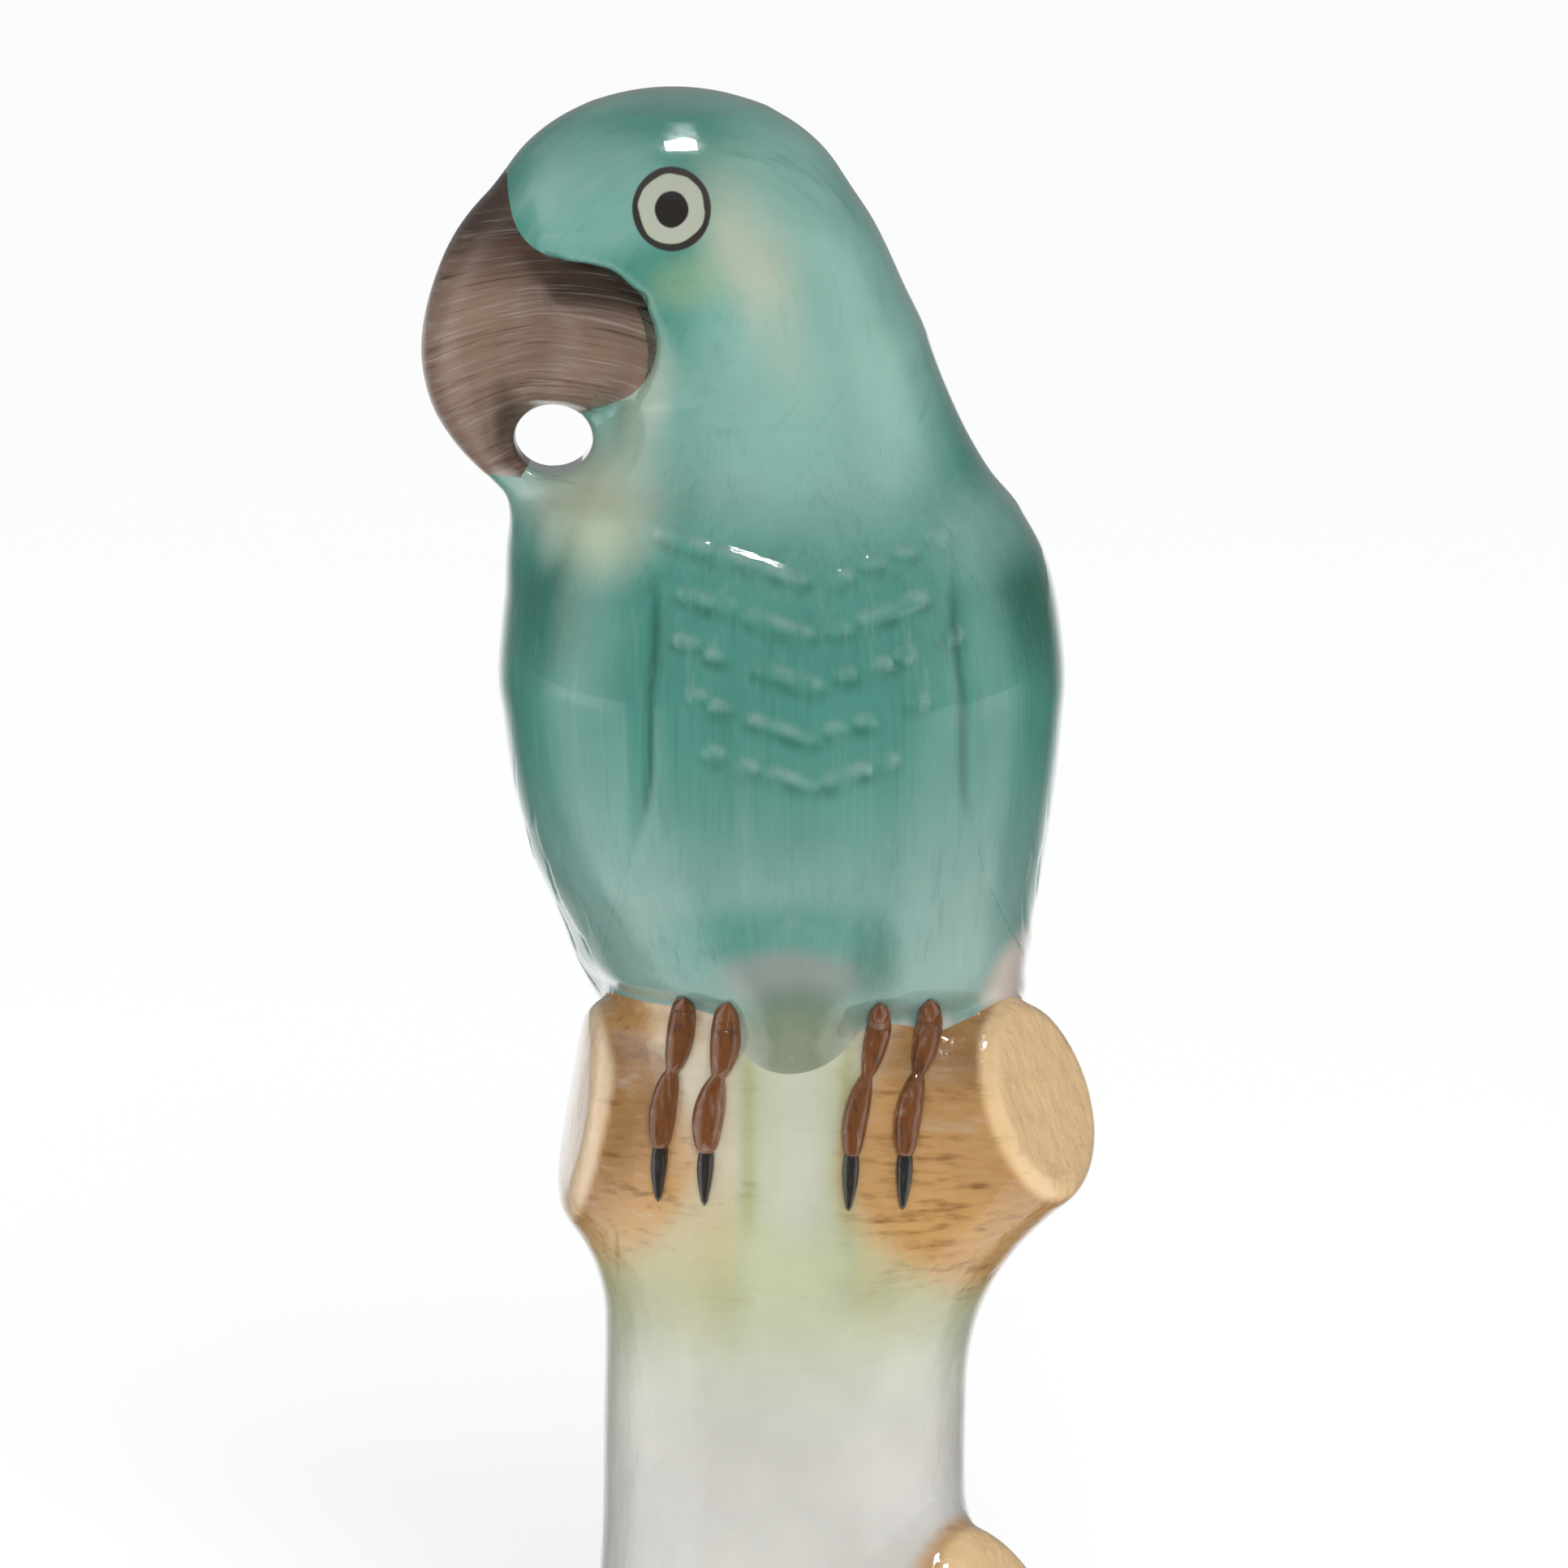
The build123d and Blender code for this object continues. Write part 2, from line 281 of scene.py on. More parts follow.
class Lump:
    """The block of space in which the clay is worked, as a grid of distances."""

    def __init__(self, low: Array, high: Array, grain: float) -> None:
        """Makes an empty lump.

        Args:
            low, high: Corners of the space in millimetres.
            grain: Edge of a grid cell in millimetres.
        """
        self.grain = grain
        self.low = np.asarray(low, float)
        counts = np.ceil((np.asarray(high) - self.low) / grain).astype(int) + 1
        axes = [self.low[i] + grain * np.arange(counts[i]) for i in range(3)]
        self.x, self.y, self.z = axes[0][:, None, None], axes[1][None, :, None], axes[2][None, None, :]
        self.clay = np.full(counts, 50.0, np.float32)

    def window(self, low: tuple, high: tuple) -> tuple[slice, slice, slice]:
        """The cells between two corners, for work on one part of the lump.

        Args:
            low, high: Corners of the space in millimetres.

        Returns:
            A slice of cells each way.
        """
        cells = []
        for i in range(3):
            first = int(max(0, (low[i] - self.low[i]) // self.grain))
            last = int(min(self.clay.shape[i], (high[i] - self.low[i]) // self.grain + 2))
            cells.append(slice(first, last))
        return tuple(cells)

    def places(self, cells: tuple[slice, slice, slice]) -> tuple[Array, Array, Array]:
        """The coordinates of a window's cells."""
        return self.x[cells[0]], self.y[:, cells[1]], self.z[:, :, cells[2]]

    def add(self, form: Field, low: Array, high: Array, blend: float) -> None:
        """Adds a form to the clay between two corners, with a fillet where it joins."""
        cells = self.window(low, high)
        self.clay[cells] = soft_union(self.clay[cells], form(*self.places(cells)), blend)

    def cut(self, tool: Field, low: Array, high: Array, blend: float) -> None:
        """Takes a tool's form out of the clay between two corners, with rounded edges."""
        cells = self.window(low, high)
        self.clay[cells] = soft_cut(self.clay[cells], tool(*self.places(cells)), blend)

    def skin(self) -> tuple[Array, Array]:
        """The clay's surface as points in millimetres and triangles that face outwards.

        Returns:
            The points and the triangles.
        """
        band = 4 * self.grain
        grid = vdb.FloatGrid(band)
        grid.copyFromArray(np.clip(self.clay, -band, band).astype(np.float32))
        points, triangles, quads = grid.convertToPolygons(isovalue=0.0, adaptivity=0.0)
        halves = np.concatenate((quads[:, [0, 1, 2]], quads[:, [0, 2, 3]]))
        faces = np.concatenate((triangles, halves)) if len(triangles) else halves
        return points.astype(float) * self.grain + self.low, faces.astype(np.int64)


# ------------------------------------------------ skin: a closed surface that can be cut into castings

class Mark(IntEnum):
    """The numbers that each point of the skin carries, each negative on one side of a seam."""

    LEFT_WING = 0
    RIGHT_WING = 1
    TREE = 2
    BEAK = 3
    LOWER_BEAK = 4
    TAIL = 5
    NECK = 6
    BASE = 7
    RIGHT_STUB = 8
    LEFT_STUB = 9
    LOWER_STUB = 10


def unit(vectors: Array) -> Array:
    """Vectors scaled to length one."""
    return vectors / (np.linalg.norm(vectors, axis=-1, keepdims=True) + 1e-12)


def across_faces(points: Array, faces: Array) -> Array:
    """A vector square to each triangle, twice as long as the triangle's area."""
    a, b, c = (points[faces[:, i]] for i in range(3))
    return np.cross(b - a, c - a)


def sum_at_points(count: int, faces: Array, corners: Array) -> Array:
    """Adds up vectors that are given at the triangles' corners, point by point.

    Args:
        count: How many points there are.
        faces: Triangles, as three point numbers each.
        corners: A vector at every corner of every triangle.

    Returns:
        The sum at each point.
    """
    total = np.zeros((count, 3))
    for i in range(3):
        np.add.at(total, faces[:, i], corners[:, i])
    return total


@dataclass
class Skin:
    """A closed surface in millimetres, with marks at its points and a normal at each triangle's corners."""

    points: Array
    marks: Array
    faces: Array
    normals: Array

    @classmethod
    def smooth(cls, points: Array, marks: Array, faces: Array) -> "Skin":
        """A skin whose normals run smoothly over the whole surface."""
        across = np.broadcast_to(across_faces(points, faces)[:, None], (*faces.shape, 3))
        return cls(points, marks, faces, unit(sum_at_points(len(points), faces, across))[faces])

    def outward(self) -> Array:
        """The skin's direction at each point, of length one."""
        return unit(sum_at_points(len(self.points), self.faces, self.normals))

    def split(self, mark: Mark) -> tuple["Skin", "Skin"]:
        """Cuts the skin along the line where a mark is zero, leaving both parts open.

        Args:
            mark: The mark that is negative in the first part.

        Returns:
            The part where the mark is negative, and the rest. They share their points.
        """
        side = self.marks[:, mark]
        side = np.where(np.abs(side) < CLOSE, CLOSE, side)
        within = side[self.faces] < 0
        count = within.sum(1)
        crossed = (count == 1) | (count == 2)
        lone_within = count[crossed] == 1
        lone = np.where(lone_within, within[crossed].argmax(1), (~within[crossed]).argmax(1))
        turn = (lone[:, None] + np.arange(3)) % 3
        f = np.take_along_axis(self.faces[crossed], turn, 1)
        n = np.take_along_axis(self.normals[crossed], turn[:, :, None], 1)
        size = len(self.points)
        keys = [np.minimum(f[:, 0], f[:, i]) * size + np.maximum(f[:, 0], f[:, i]) for i in (1, 2)]
        keys, place = np.unique(np.concatenate(keys), return_inverse=True)
        low, high = keys // size, keys % size
        share = (side[low] / (side[low] - side[high]))[:, None]
        m1, m2 = np.split(place.reshape(-1) + size, 2)
        n1, n2 = (
            unit(n[:, 0] + (n[:, i] - n[:, 0]) * (side[f[:, 0]] / (side[f[:, 0]] - side[f[:, i]]))[:, None])
            for i in (1, 2)
        )
        points = np.concatenate((self.points, self.points[low] * (1 - share) + self.points[high] * share))
        marks = np.concatenate((self.marks, self.marks[low] * (1 - share) + self.marks[high] * share))
        tips = np.stack((f[:, 0], m1, m2), 1), np.stack((n[:, 0], n1, n2), 1)
        wides = (
            np.concatenate((np.stack((m1, f[:, 1], f[:, 2]), 1), np.stack((m1, f[:, 2], m2), 1))),
            np.concatenate((np.stack((n1, n[:, 1], n[:, 2]), 1), np.stack((n1, n[:, 2], n2), 1))),
        )
        parts = []
        for kept, whole in ((True, count == 3), (False, count == 0)):
            tip, wide = lone_within == kept, np.tile(lone_within != kept, 2)
            parts.append(Skin(
                points, marks,
                np.concatenate((self.faces[whole], tips[0][tip], wides[0][wide])),
                np.concatenate((self.normals[whole], tips[1][tip], wides[1][wide])),
            ))
        return parts[0], parts[1]

    def open_edges(self) -> Array:
        """The directed edges that have a face on one side only.

        Returns:
            Pairs of point numbers.
        """
        f = self.faces
        edges = np.concatenate((f[:, [0, 1]], f[:, [1, 2]], f[:, [2, 0]]))
        size = len(self.points)
        return edges[~np.isin(edges[:, 0] * size + edges[:, 1], edges[:, 1] * size + edges[:, 0])]

    def with_faces(self, points: Array, marks: Array, faces: Array, normals: Array) -> "Skin":
        """This skin with more faces on an extended set of points.

        Args:
            points: The new points in millimetres.
            marks: Their seam marks.
            faces: The new triangles.
            normals: A direction at each corner of them.

        Returns:
            The extended skin.
        """
        return Skin(
            np.concatenate((self.points, points)), np.concatenate((self.marks, marks)),
            np.concatenate((self.faces, faces)), np.concatenate((self.normals, normals)),
        )

    def compact(self) -> "Skin":
        """The skin with only the points that its faces use."""
        used, faces = np.unique(self.faces, return_inverse=True)
        return Skin(self.points[used], self.marks[used], faces.reshape(-1, 3), self.normals)


def rings_of(edges: Array) -> list[Array]:
    """Sorts directed edges into closed rings of edges.

    Args:
        edges: Pairs of point numbers.

    Returns:
        The rings, each with its edges in order.
    """
    follow: dict[int, list[int]] = {}
    for start, end in edges.tolist():
        follow.setdefault(start, []).append(end)
    rings = []
    while follow:
        start = next(iter(follow))
        ring, at = [], start
        while at in follow:
            after = follow[at].pop()
            if not follow[at]:
                del follow[at]
            ring.append((at, after))
            at = after
        rings.append(np.array(ring))
    return rings


def flat_normals(points: Array, faces: Array) -> Array:
    """The same normal at all three corners of each face, square to it."""
    return np.repeat(unit(across_faces(points, faces))[:, None, :], 3, 1)


def part_with_plugs(skin: Skin, mark: Mark) -> tuple[Skin, Skin]:
    """Cuts a closed skin in two and plugs both cuts with the same faces, so that the parts meet on them.

    Args:
        skin: The closed skin.
        mark: The seam's mark, negative in the first part.

    Returns:
        The part inside the seam, and the rest.
    """
    inner, outer = skin.split(mark)
    rings = rings_of(inner.open_edges())
    LOG.info("seam %s: %d ring(s), %s edges", mark.name.lower(), len(rings), [len(ring) for ring in rings][:6])
    centres = np.array([inner.points[ring[:, 0]].mean(0) for ring in rings]).reshape(-1, 3)
    marks = np.array([inner.marks[ring[:, 0]].mean(0) for ring in rings]).reshape(-1, len(Mark))
    first = len(inner.points)
    plug = np.concatenate([np.column_stack((ring[:, 1], ring[:, 0], np.full(len(ring), first + i)))
                           for i, ring in enumerate(rings)])
    turned, points = plug[:, [1, 0, 2]], np.concatenate((inner.points, centres))
    return (
        inner.with_faces(centres, marks, plug, flat_normals(points, plug)).compact(),
        outer.with_faces(centres, marks, turned, flat_normals(points, turned)).compact(),
    )


def part_as_shell(skin: Skin, mark: Mark, thickness: float) -> tuple[Skin, Skin]:
    """Lifts a shell of even thickness off a closed skin and leaves the bed that it lay in.

    Args:
        skin: The closed skin.
        mark: The seam's mark, negative on the shell.
        thickness: How thick the shell is, in millimetres.

    Returns:
        The shell, and the rest with the shell's bed.
    """
    patch, rest = skin.split(mark)
    used = np.unique(patch.faces)
    twin = np.full(len(patch.points), -1)
    twin[used] = len(patch.points) + np.arange(len(used))
    beds, marks = patch.points[used] - patch.outward()[used] * thickness, patch.marks[used]
    points = np.concatenate((patch.points, beds))
    bed = twin[patch.faces]
    edge = patch.open_edges()
    a, b, a2, b2 = edge[:, 0], edge[:, 1], twin[edge[:, 0]], twin[edge[:, 1]]
    rim = np.concatenate((np.column_stack((b, a, a2)), np.column_stack((b, a2, b2))))
    turned = rim[:, ::-1]
    back = np.concatenate((-patch.normals[:, ::-1], flat_normals(points, rim)))
    front = np.concatenate((patch.normals, flat_normals(points, turned)))
    shell = patch.with_faces(beds, marks, np.concatenate((bed[:, ::-1], rim)), back)
    return shell.compact(), rest.with_faces(beds, marks, np.concatenate((bed, turned)), front).compact()


# ------------------------------------------------ the castings' forms

@dataclass
class NodeBox:
    """A CAD node's box in millimetres."""

    low: Array
    high: Array

    @classmethod
    def of(cls, node: str) -> "NodeBox":
        """Reads a node's box from the frame."""
        low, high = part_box(node)
        return cls(np.array(low) / MM, np.array(high) / MM)

    @property
    def middle(self) -> Array:
        """The centre of the box."""
        return (self.low + self.high) / 2


@dataclass
class BaseMound:
    """The low oval mound with a foot ring and an air vent beneath."""

    box: NodeBox
    lobe: float = 0.022
    ring_width: float = 4.0
    recess: float = 1.4
    vent: float = 2.2
    shoulder: float = 3.0

    def field(self, x: Array, y: Array, z: Array) -> Array:
        """Signed distance from the mound.

        Args:
            x, y, z: Places in millimetres.

        Returns:
            The distance at each place.
        """
        half = (self.box.high - self.box.low) / 2
        top = self.box.high[2]
        angle = np.arctan2(y, x)
        uneven = 1 + self.lobe * (np.sin(3 * angle + 0.7) + 0.6 * np.sin(5 * angle + 2.1) - 1.2)
        shares = flow(np.unique(z), np.array([-2.0, 0.0, 1.6, 4.2, 6.6, top + 1.5, top + 5]),
                      np.array([0.93, 0.965, 1.0, 0.985, 0.9, 0.74, 0.5]))
        share = np.interp(z, np.unique(z), shares) * uneven
        side = oval_distance((x, y), (half[0] * share, half[1] * share))
        mound = soft_cut(side, top + 0.2 - z, self.shoulder)
        return np.maximum(mound, -z)

    def hollows(self, x: Array, y: Array, z: Array) -> Array:
        """Signed distance from the space under the mound: the recess in the foot ring and the vent.

        Args:
            x, y, z: Places in millimetres.

        Returns:
            The distance at each place.
        """
        half = (self.box.high - self.box.low) / 2 - self.ring_width
        recess = np.maximum(oval_distance((x, y), (half[0], half[1])), z - self.recess)
        vent = np.maximum(np.sqrt(x**2 + y**2) - self.vent, z - self.box.high[2])
        return np.minimum(recess, vent)


@dataclass
class TrunkCasting:
    """The white trunk that swells into the perch, with a rib down its front."""

    box: NodeBox
    perch_z: float
    girth: float = 12.3
    rib_blend: float = 2.6

    def form(self) -> UprightForm:
        """The trunk without its rib.

        Returns:
            The form, one level above the other.
        """
        foot, g, p = self.box.low[2], self.girth, self.perch_z
        return UprightForm([
            Station(foot, 0.0, 0.0, g + 6.4, g + 5.2),
            Station(foot + 5, 0.0, 0.0, g + 3.4, g + 2.2),
            Station(foot + 12, 0.0, 0.0, g + 1.5, g + 0.3),
            Station(foot + 22, 0.1, 0.0, g + 0.5, g - 0.6),
            Station(p - 24, 0.0, 0.0, g + 0.1, g - 0.9),
            Station(p - 16, 0.15, -0.1, g + 0.1, g - 0.9),
            Station(p - 10, 0.3, -0.3, g + 0.3, g - 0.5),
            Station(p - 4, 0.5, -0.5, g + 0.6, g + 0.1),
            Station(p + 2, 0.5, -0.5, g + 0.6, g + 0.3),
            Station(p + 7, 0.4, -0.5, g + 0.3, g + 0.4),
            Station(p + 9.6, 0.4, -0.4, g - 1.0, g - 0.8),
            Station(p + 11.4, 0.2, 0.0, g - 6.0, g - 6.0),
        ])

    def field(self, x: Array, y: Array, z: Array) -> Array:
        """Signed distance from the trunk and its rib.

        Args:
            x, y, z: Places in millimetres.

        Returns:
            The distance at each place.
        """
        trunk = self.form().field(x, y, z)
        rib = ball_field(x, y, z, (1.4, -self.girth + 2.2, self.perch_z - 2.5), (3.3, 3.0, 13.0), 0.0)
        return soft_union(trunk, rib, self.rib_blend)


@dataclass
class SawnStub:
    """A short branch stump, from a root inside the trunk to a sawn face."""

    root: Triple
    end: Triple
    facing: Triple
    root_radius: float
    end_radius: float
    blend: float
    rim: float = 1.5

    def along(self, x: Array, y: Array, z: Array) -> tuple[Array, Array]:
        """How far along the stump's axis a place is, from 0 to 1, and how far it is from the axis.

        Args:
            x, y, z: Places in millimetres.

        Returns:
            The share of the axis, and the distance from it.
        """
        root, axis = np.array(self.root), np.array(self.end) - np.array(self.root)
        length2 = float(axis @ axis)
        dx, dy, dz = x - root[0], y - root[1], z - root[2]
        share = (dx * axis[0] + dy * axis[1] + dz * axis[2]) / length2
        off = np.sqrt(np.maximum(dx**2 + dy**2 + dz**2 - share**2 * length2, 0))
        return share, off

    def past_saw(self, x: Array, y: Array, z: Array) -> Array:
        """How far a place lies beyond the saw cut, in millimetres."""
        facing = np.array(self.facing) / np.linalg.norm(self.facing)
        return (x - self.end[0]) * facing[0] + (y - self.end[1]) * facing[1] + (z - self.end[2]) * facing[2]

    def field(self, x: Array, y: Array, z: Array) -> Array:
        """Signed distance from the stump, with a rounded rim.

        Args:
            x, y, z: Places in millimetres.

        Returns:
            The distance at each place.
        """
        share, off = self.along(x, y, z)
        swell = 1 + 0.035 * np.sin(np.clip(share, 0, 1) * 3.1)
        radius = (self.root_radius + (self.end_radius - self.root_radius) * np.clip(share, 0, 1.3)) * swell
        side = np.maximum(off - radius, -share * 12)
        return soft_cut(side, -self.past_saw(x, y, z), self.rim)


@dataclass
class TorsoCasting:
    """The bird's body and neck in one smooth form, with the vent feathers' bulge and the near shoulder."""

    foot: float

    def form(self) -> UprightForm:
        """The body from its underside up to the crown.

        Returns:
            The form, one level above the other.
        """
        return UprightForm.above(self.foot, [
            (1.4, 3.4, -1.4, 12.0, 7.6),
            (3.6, 2.7, -1.2, 13.7, 11.2),
            (4.9, 2.1, -1.1, 14.3, 13.2),
            (6.8, 1.8, -1.0, 14.8, 14.5),
            (9.0, 1.25, -0.9, 15.4, 15.3),
            (13.4, 0.4, -0.8, 16.9, 16.5),
            (17.8, 0.1, -0.7, 18.0, 17.0),
            (22.2, 0.0, -0.6, 18.6, 17.1),
            (25.0, -0.1, -0.5, 18.9, 17.0),
            (28.8, -0.15, -0.3, 18.6, 16.5),
            (33.2, -0.3, -0.2, 17.8, 15.5),
            (36.3, -0.7, -0.1, 16.7, 14.2),
            (38.8, -0.4, -0.1, 14.4, 12.8),
            (41.3, -0.2, -0.2, 12.7, 11.8),
            (44.3, 0.1, -0.4, 11.0, 10.9),
            (47.8, 0.2, -0.6, 9.6, 10.0),
            (51.8, -0.7, -0.8, 8.6, 9.1),
            (55.8, -2.4, -1.0, 7.7, 8.2),
            (58.6, -4.8, -1.0, 6.6, 6.6),
            (61.2, -7.0, -1.0, 3.6, 3.6),
        ])

    def field(self, x: Array, y: Array, z: Array) -> Array:
        """Signed distance from the body.

        Args:
            x, y, z: Places in millimetres.

        Returns:
            The distance at each place.
        """
        body = self.form().field(x, y, z)
        vent = ball_field(x, y, z, (0.7, -10.3, self.foot + 4.9), (4.8, 5.2, 6.2), -4.0)
        shoulder = ball_field(x, y, z, (-13.9, -0.8, self.foot + 34.2), (4.4, 6.8, 4.9), 12.0)
        return soft_union(soft_union(body, vent, 2.4), shoulder, 1.6)


@dataclass
class HeadCasting:
    """Crown, cheek and brow, turned in profile."""

    crown: float

    def field(self, x: Array, y: Array, z: Array) -> Array:
        """Signed distance from the head.

        Args:
            x, y, z: Places in millimetres.

        Returns:
            The distance at each place.
        """
        c = self.crown
        skull = ball_field(x, y, z, (-7.45, -1.0, c - 9.6), (12.4, 9.0, 9.6))
        cheek = ball_field(x, y, z, (-3.4, -1.0, c - 16.0), (8.8, 9.0, 9.0))
        return soft_union(skull, cheek, 4.0)


@dataclass
class BeakPair:
    """The hooked upper beak and the round lower beak, as outlines swelled out to both sides."""

    tip: Pair
    mid_y: float = -1.0

    def moved(self, points: list[Pair]) -> Outline:
        """An outline whose points are given from the beak's tip."""
        return Outline([(self.tip[0] + px, self.tip[1] + pz) for px, pz in points])

    def upper(self) -> Outline:
        """The hook, and the root that goes into the face.

        Returns:
            The outline.
        """
        return self.moved([
            (0.7, 21.4), (-1.8, 19.2), (-3.7, 16.4), (-5.05, 12.7), (-5.5, 9.2), (-4.85, 5.9), (-3.35, 3.3),
            (-1.4, 1.2), (0.2, 0.1), (1.1, 0.9), (0.8, 2.6), (0.8, 4.3), (1.5, 6.3), (2.5, 8.6), (3.4, 11.3),
            (4.2, 13.7), (9.5, 13.6), (10.0, 15.2), (8.2, 17.4), (4.9, 19.6), (2.9, 21.6),
        ])

    def lower(self) -> Outline:
        """The round lobe under the hook.

        Returns:
            The outline.
        """
        return self.moved([
            (4.2, 13.7), (6.9, 14.0), (9.5, 13.6), (10.6, 12.0), (10.7, 9.5), (10.1, 7.6), (8.8, 6.1),
            (6.6, 5.2), (4.3, 5.1), (2.3, 5.7), (1.5, 7.6), (2.2, 10.0), (3.1, 12.2),
        ])

    def socket(self) -> Outline:
        """The edge of the face, inside which the beak shows.

        Returns:
            The outline.
        """
        return self.moved([
            (-5.5, 24.0), (-1.2, 22.6), (0.2, 21.7), (0.5, 20.2), (0.9, 18.6), (1.7, 17.3), (2.8, 16.5),
            (4.3, 16.0), (6.0, 15.8), (7.5, 15.4), (8.8, 14.3), (9.8, 12.9), (10.3, 11.4), (10.35, 9.9),
            (9.9, 8.4), (8.9, 7.1), (7.4, 6.2), (5.8, 5.6), (4.0, 4.4), (2.2, 2.4), (1.3, 1.2), (0.7, -0.2),
            (-0.6, -0.9), (-4.0, -1.0), (-9.0, 3.0), (-11.0, 12.0), (-9.0, 20.0),
        ])

    def upper_field(self, x: Array, y: Array, z: Array) -> Array:
        """Signed distance from the hook."""
        thick = fade(self.tip[1] - 0.5, self.tip[1] + 9.5, z)
        return swelled(self.upper().field(x, z), y - self.mid_y, 1.0 + 3.2 * thick, 1.5 + 4.6 * thick)

    def lower_field(self, x: Array, y: Array, z: Array) -> Array:
        """Signed distance from the lower lobe."""
        return swelled(self.lower().field(x, z), y - self.mid_y, np.float64(4.4), np.float64(7.0))


@dataclass
class TailCasting:
    """The long tail that hangs down behind the trunk."""

    box: NodeBox

    def field(self, x: Array, y: Array, z: Array) -> Array:
        """Signed distance from the tail.

        Args:
            x, y, z: Places in millimetres.

        Returns:
            The distance at each place.
        """
        low, high = self.box.low[2], self.box.high[2] + 4
        back = self.box.high[1]
        return UprightForm([
            Station(low, 0.0, back - 1.6, 1.2, 0.9),
            Station(low + 4, 0.0, back - 2.0, 3.9, 1.8),
            Station(low + 12, 0.0, back - 2.8, 6.0, 2.8),
            Station(low + 24, 0.0, back - 3.8, 7.6, 3.9),
            Station(low + 34, 0.0, back - 4.6, 8.8, 4.8),
            Station(high, 0.0, back - 5.6, 9.0, 5.0),
        ]).field(x, y, z)


@dataclass
class FoldedTips:
    """The wings' folded ends, which stand out behind the perch under the body's back."""

    foot: float

    def field(self, x: Array, y: Array, z: Array) -> Array:
        """Signed distance from the wings' ends.

        Args:
            x, y, z: Places in millimetres.

        Returns:
            The distance at each place.
        """
        return UprightForm.above(self.foot, [
            (-6.2, 0.0, 11.6, 5.5, 2.6),
            (-3.0, 0.1, 9.6, 9.8, 5.4),
            (2.0, 0.4, 6.6, 12.8, 9.0),
            (7.0, 0.4, 3.6, 14.9, 12.8),
            (13.0, 0.1, 1.4, 16.0, 15.2),
            (19.0, 0.0, 0.2, 15.2, 14.4),
            (25.0, 0.0, 0.0, 11.5, 11.5),
        ]).field(x, y, z)


@dataclass
class WingPlan:
    """A wing's outline on the body's side, unrolled: how far round from the breast bone, and how high."""

    foot: float
    radius: float = 17.5
    step: float = 0.25
    proud: float = 0.34
    round_limit: float = 56.0
    right_set_back: float = 3.4
    table: Array = field(init=False)
    levels: Array = field(init=False)

    def __post_init__(self) -> None:
        """Works out the distances from the outline once, on a fine grid."""
        f = self.foot
        outline = Outline([
            (10.2, f + 32.5), (9.7, f + 25.5), (10.0, f + 18.5), (12.2, f + 13.2), (16.5, f + 9.0),
            (22.5, f + 5.6), (29.5, f + 2.6), (37.0, f - 0.2), (44.0, f - 3.2), (50.0, f - 6.0),
            (52.6, f - 5.4), (53.0, f + 2.0), (53.0, f + 14.0), (52.6, f + 26.0), (50.6, f + 33.6),
            (44.0, f + 37.4), (33.0, f + 38.6), (21.5, f + 38.6), (13.8, f + 36.8),
        ])
        around = np.arange(0, self.round_limit + self.step, self.step)
        self.levels = np.arange(f - 12, f + 48, self.step)
        self.table = outline.field(around[:, None], self.levels[None, :])

    def around(self, x: Array, y: Array) -> Array:
        """How far round the body a place is from the breast bone, in millimetres, on either side."""
        around = self.radius * np.abs(np.arctan2(x, -(y + 0.5)))
        return around - self.right_set_back * np.where(x > 0, fade(42.0, 16.0, around), 0.0)

    def edge(self, x: Array, y: Array, z: Array) -> Array:
        """Distance of places from the wing's outline, negative inside.

        Args:
            x, y, z: Places in millimetres.

        Returns:
            The distance at each place.
        """
        s = np.clip(self.around(x, y) / self.step, 0, len(self.table) - 1.001)
        level = np.clip((z - self.levels[0]) / self.step, 0, len(self.levels) - 1.001)
        i, j = s.astype(int), level.astype(int)
        u, v = s - i, level - j
        t = self.table
        below, above = (t[i, k] * (1 - u) + t[i + 1, k] * u for k in (j, j + 1))
        return below * (1 - v) + above * v

    def rise(self, x: Array, y: Array, z: Array) -> Array:
        """How far the wing stands proud of the body, with a fine groove along its front edge.

        Args:
            x, y, z: Places in millimetres.

        Returns:
            The height in millimetres.
        """
        edge = self.edge(x, y, z)
        front = fade(self.foot + 37, self.foot + 31, z) * np.where(x > 0, 0.65, 1.0)
        low_end = fade(self.foot + 7, self.foot + 19, z)
        front = front * np.maximum(fade(26.0, 36.0, self.around(x, y)), low_end)
        groove = 0.12 * np.exp(-((edge - 0.35) / 0.55) ** 2)
        return self.proud * fade(1.3, -1.5, edge) * front - groove * front

    def feather(self, x: Array, y: Array, z: Array) -> tuple[Array, Array, Array]:
        """Where places lie on the wing.

        Args:
            x, y, z: Places in millimetres.

        Returns:
            Distance along the feathers from the shoulder, distance across them, and how much they show.
        """
        s, drop = self.around(x, y) - 21.0, self.foot + 36.0 - z
        along, across = 0.565 * s + 0.826 * drop, 0.826 * s - 0.565 * drop
        return along, across, fade(-0.6, -2.6, self.edge(x, y, z)) * fade(12.0, 26.0, along + 0.35 * s)


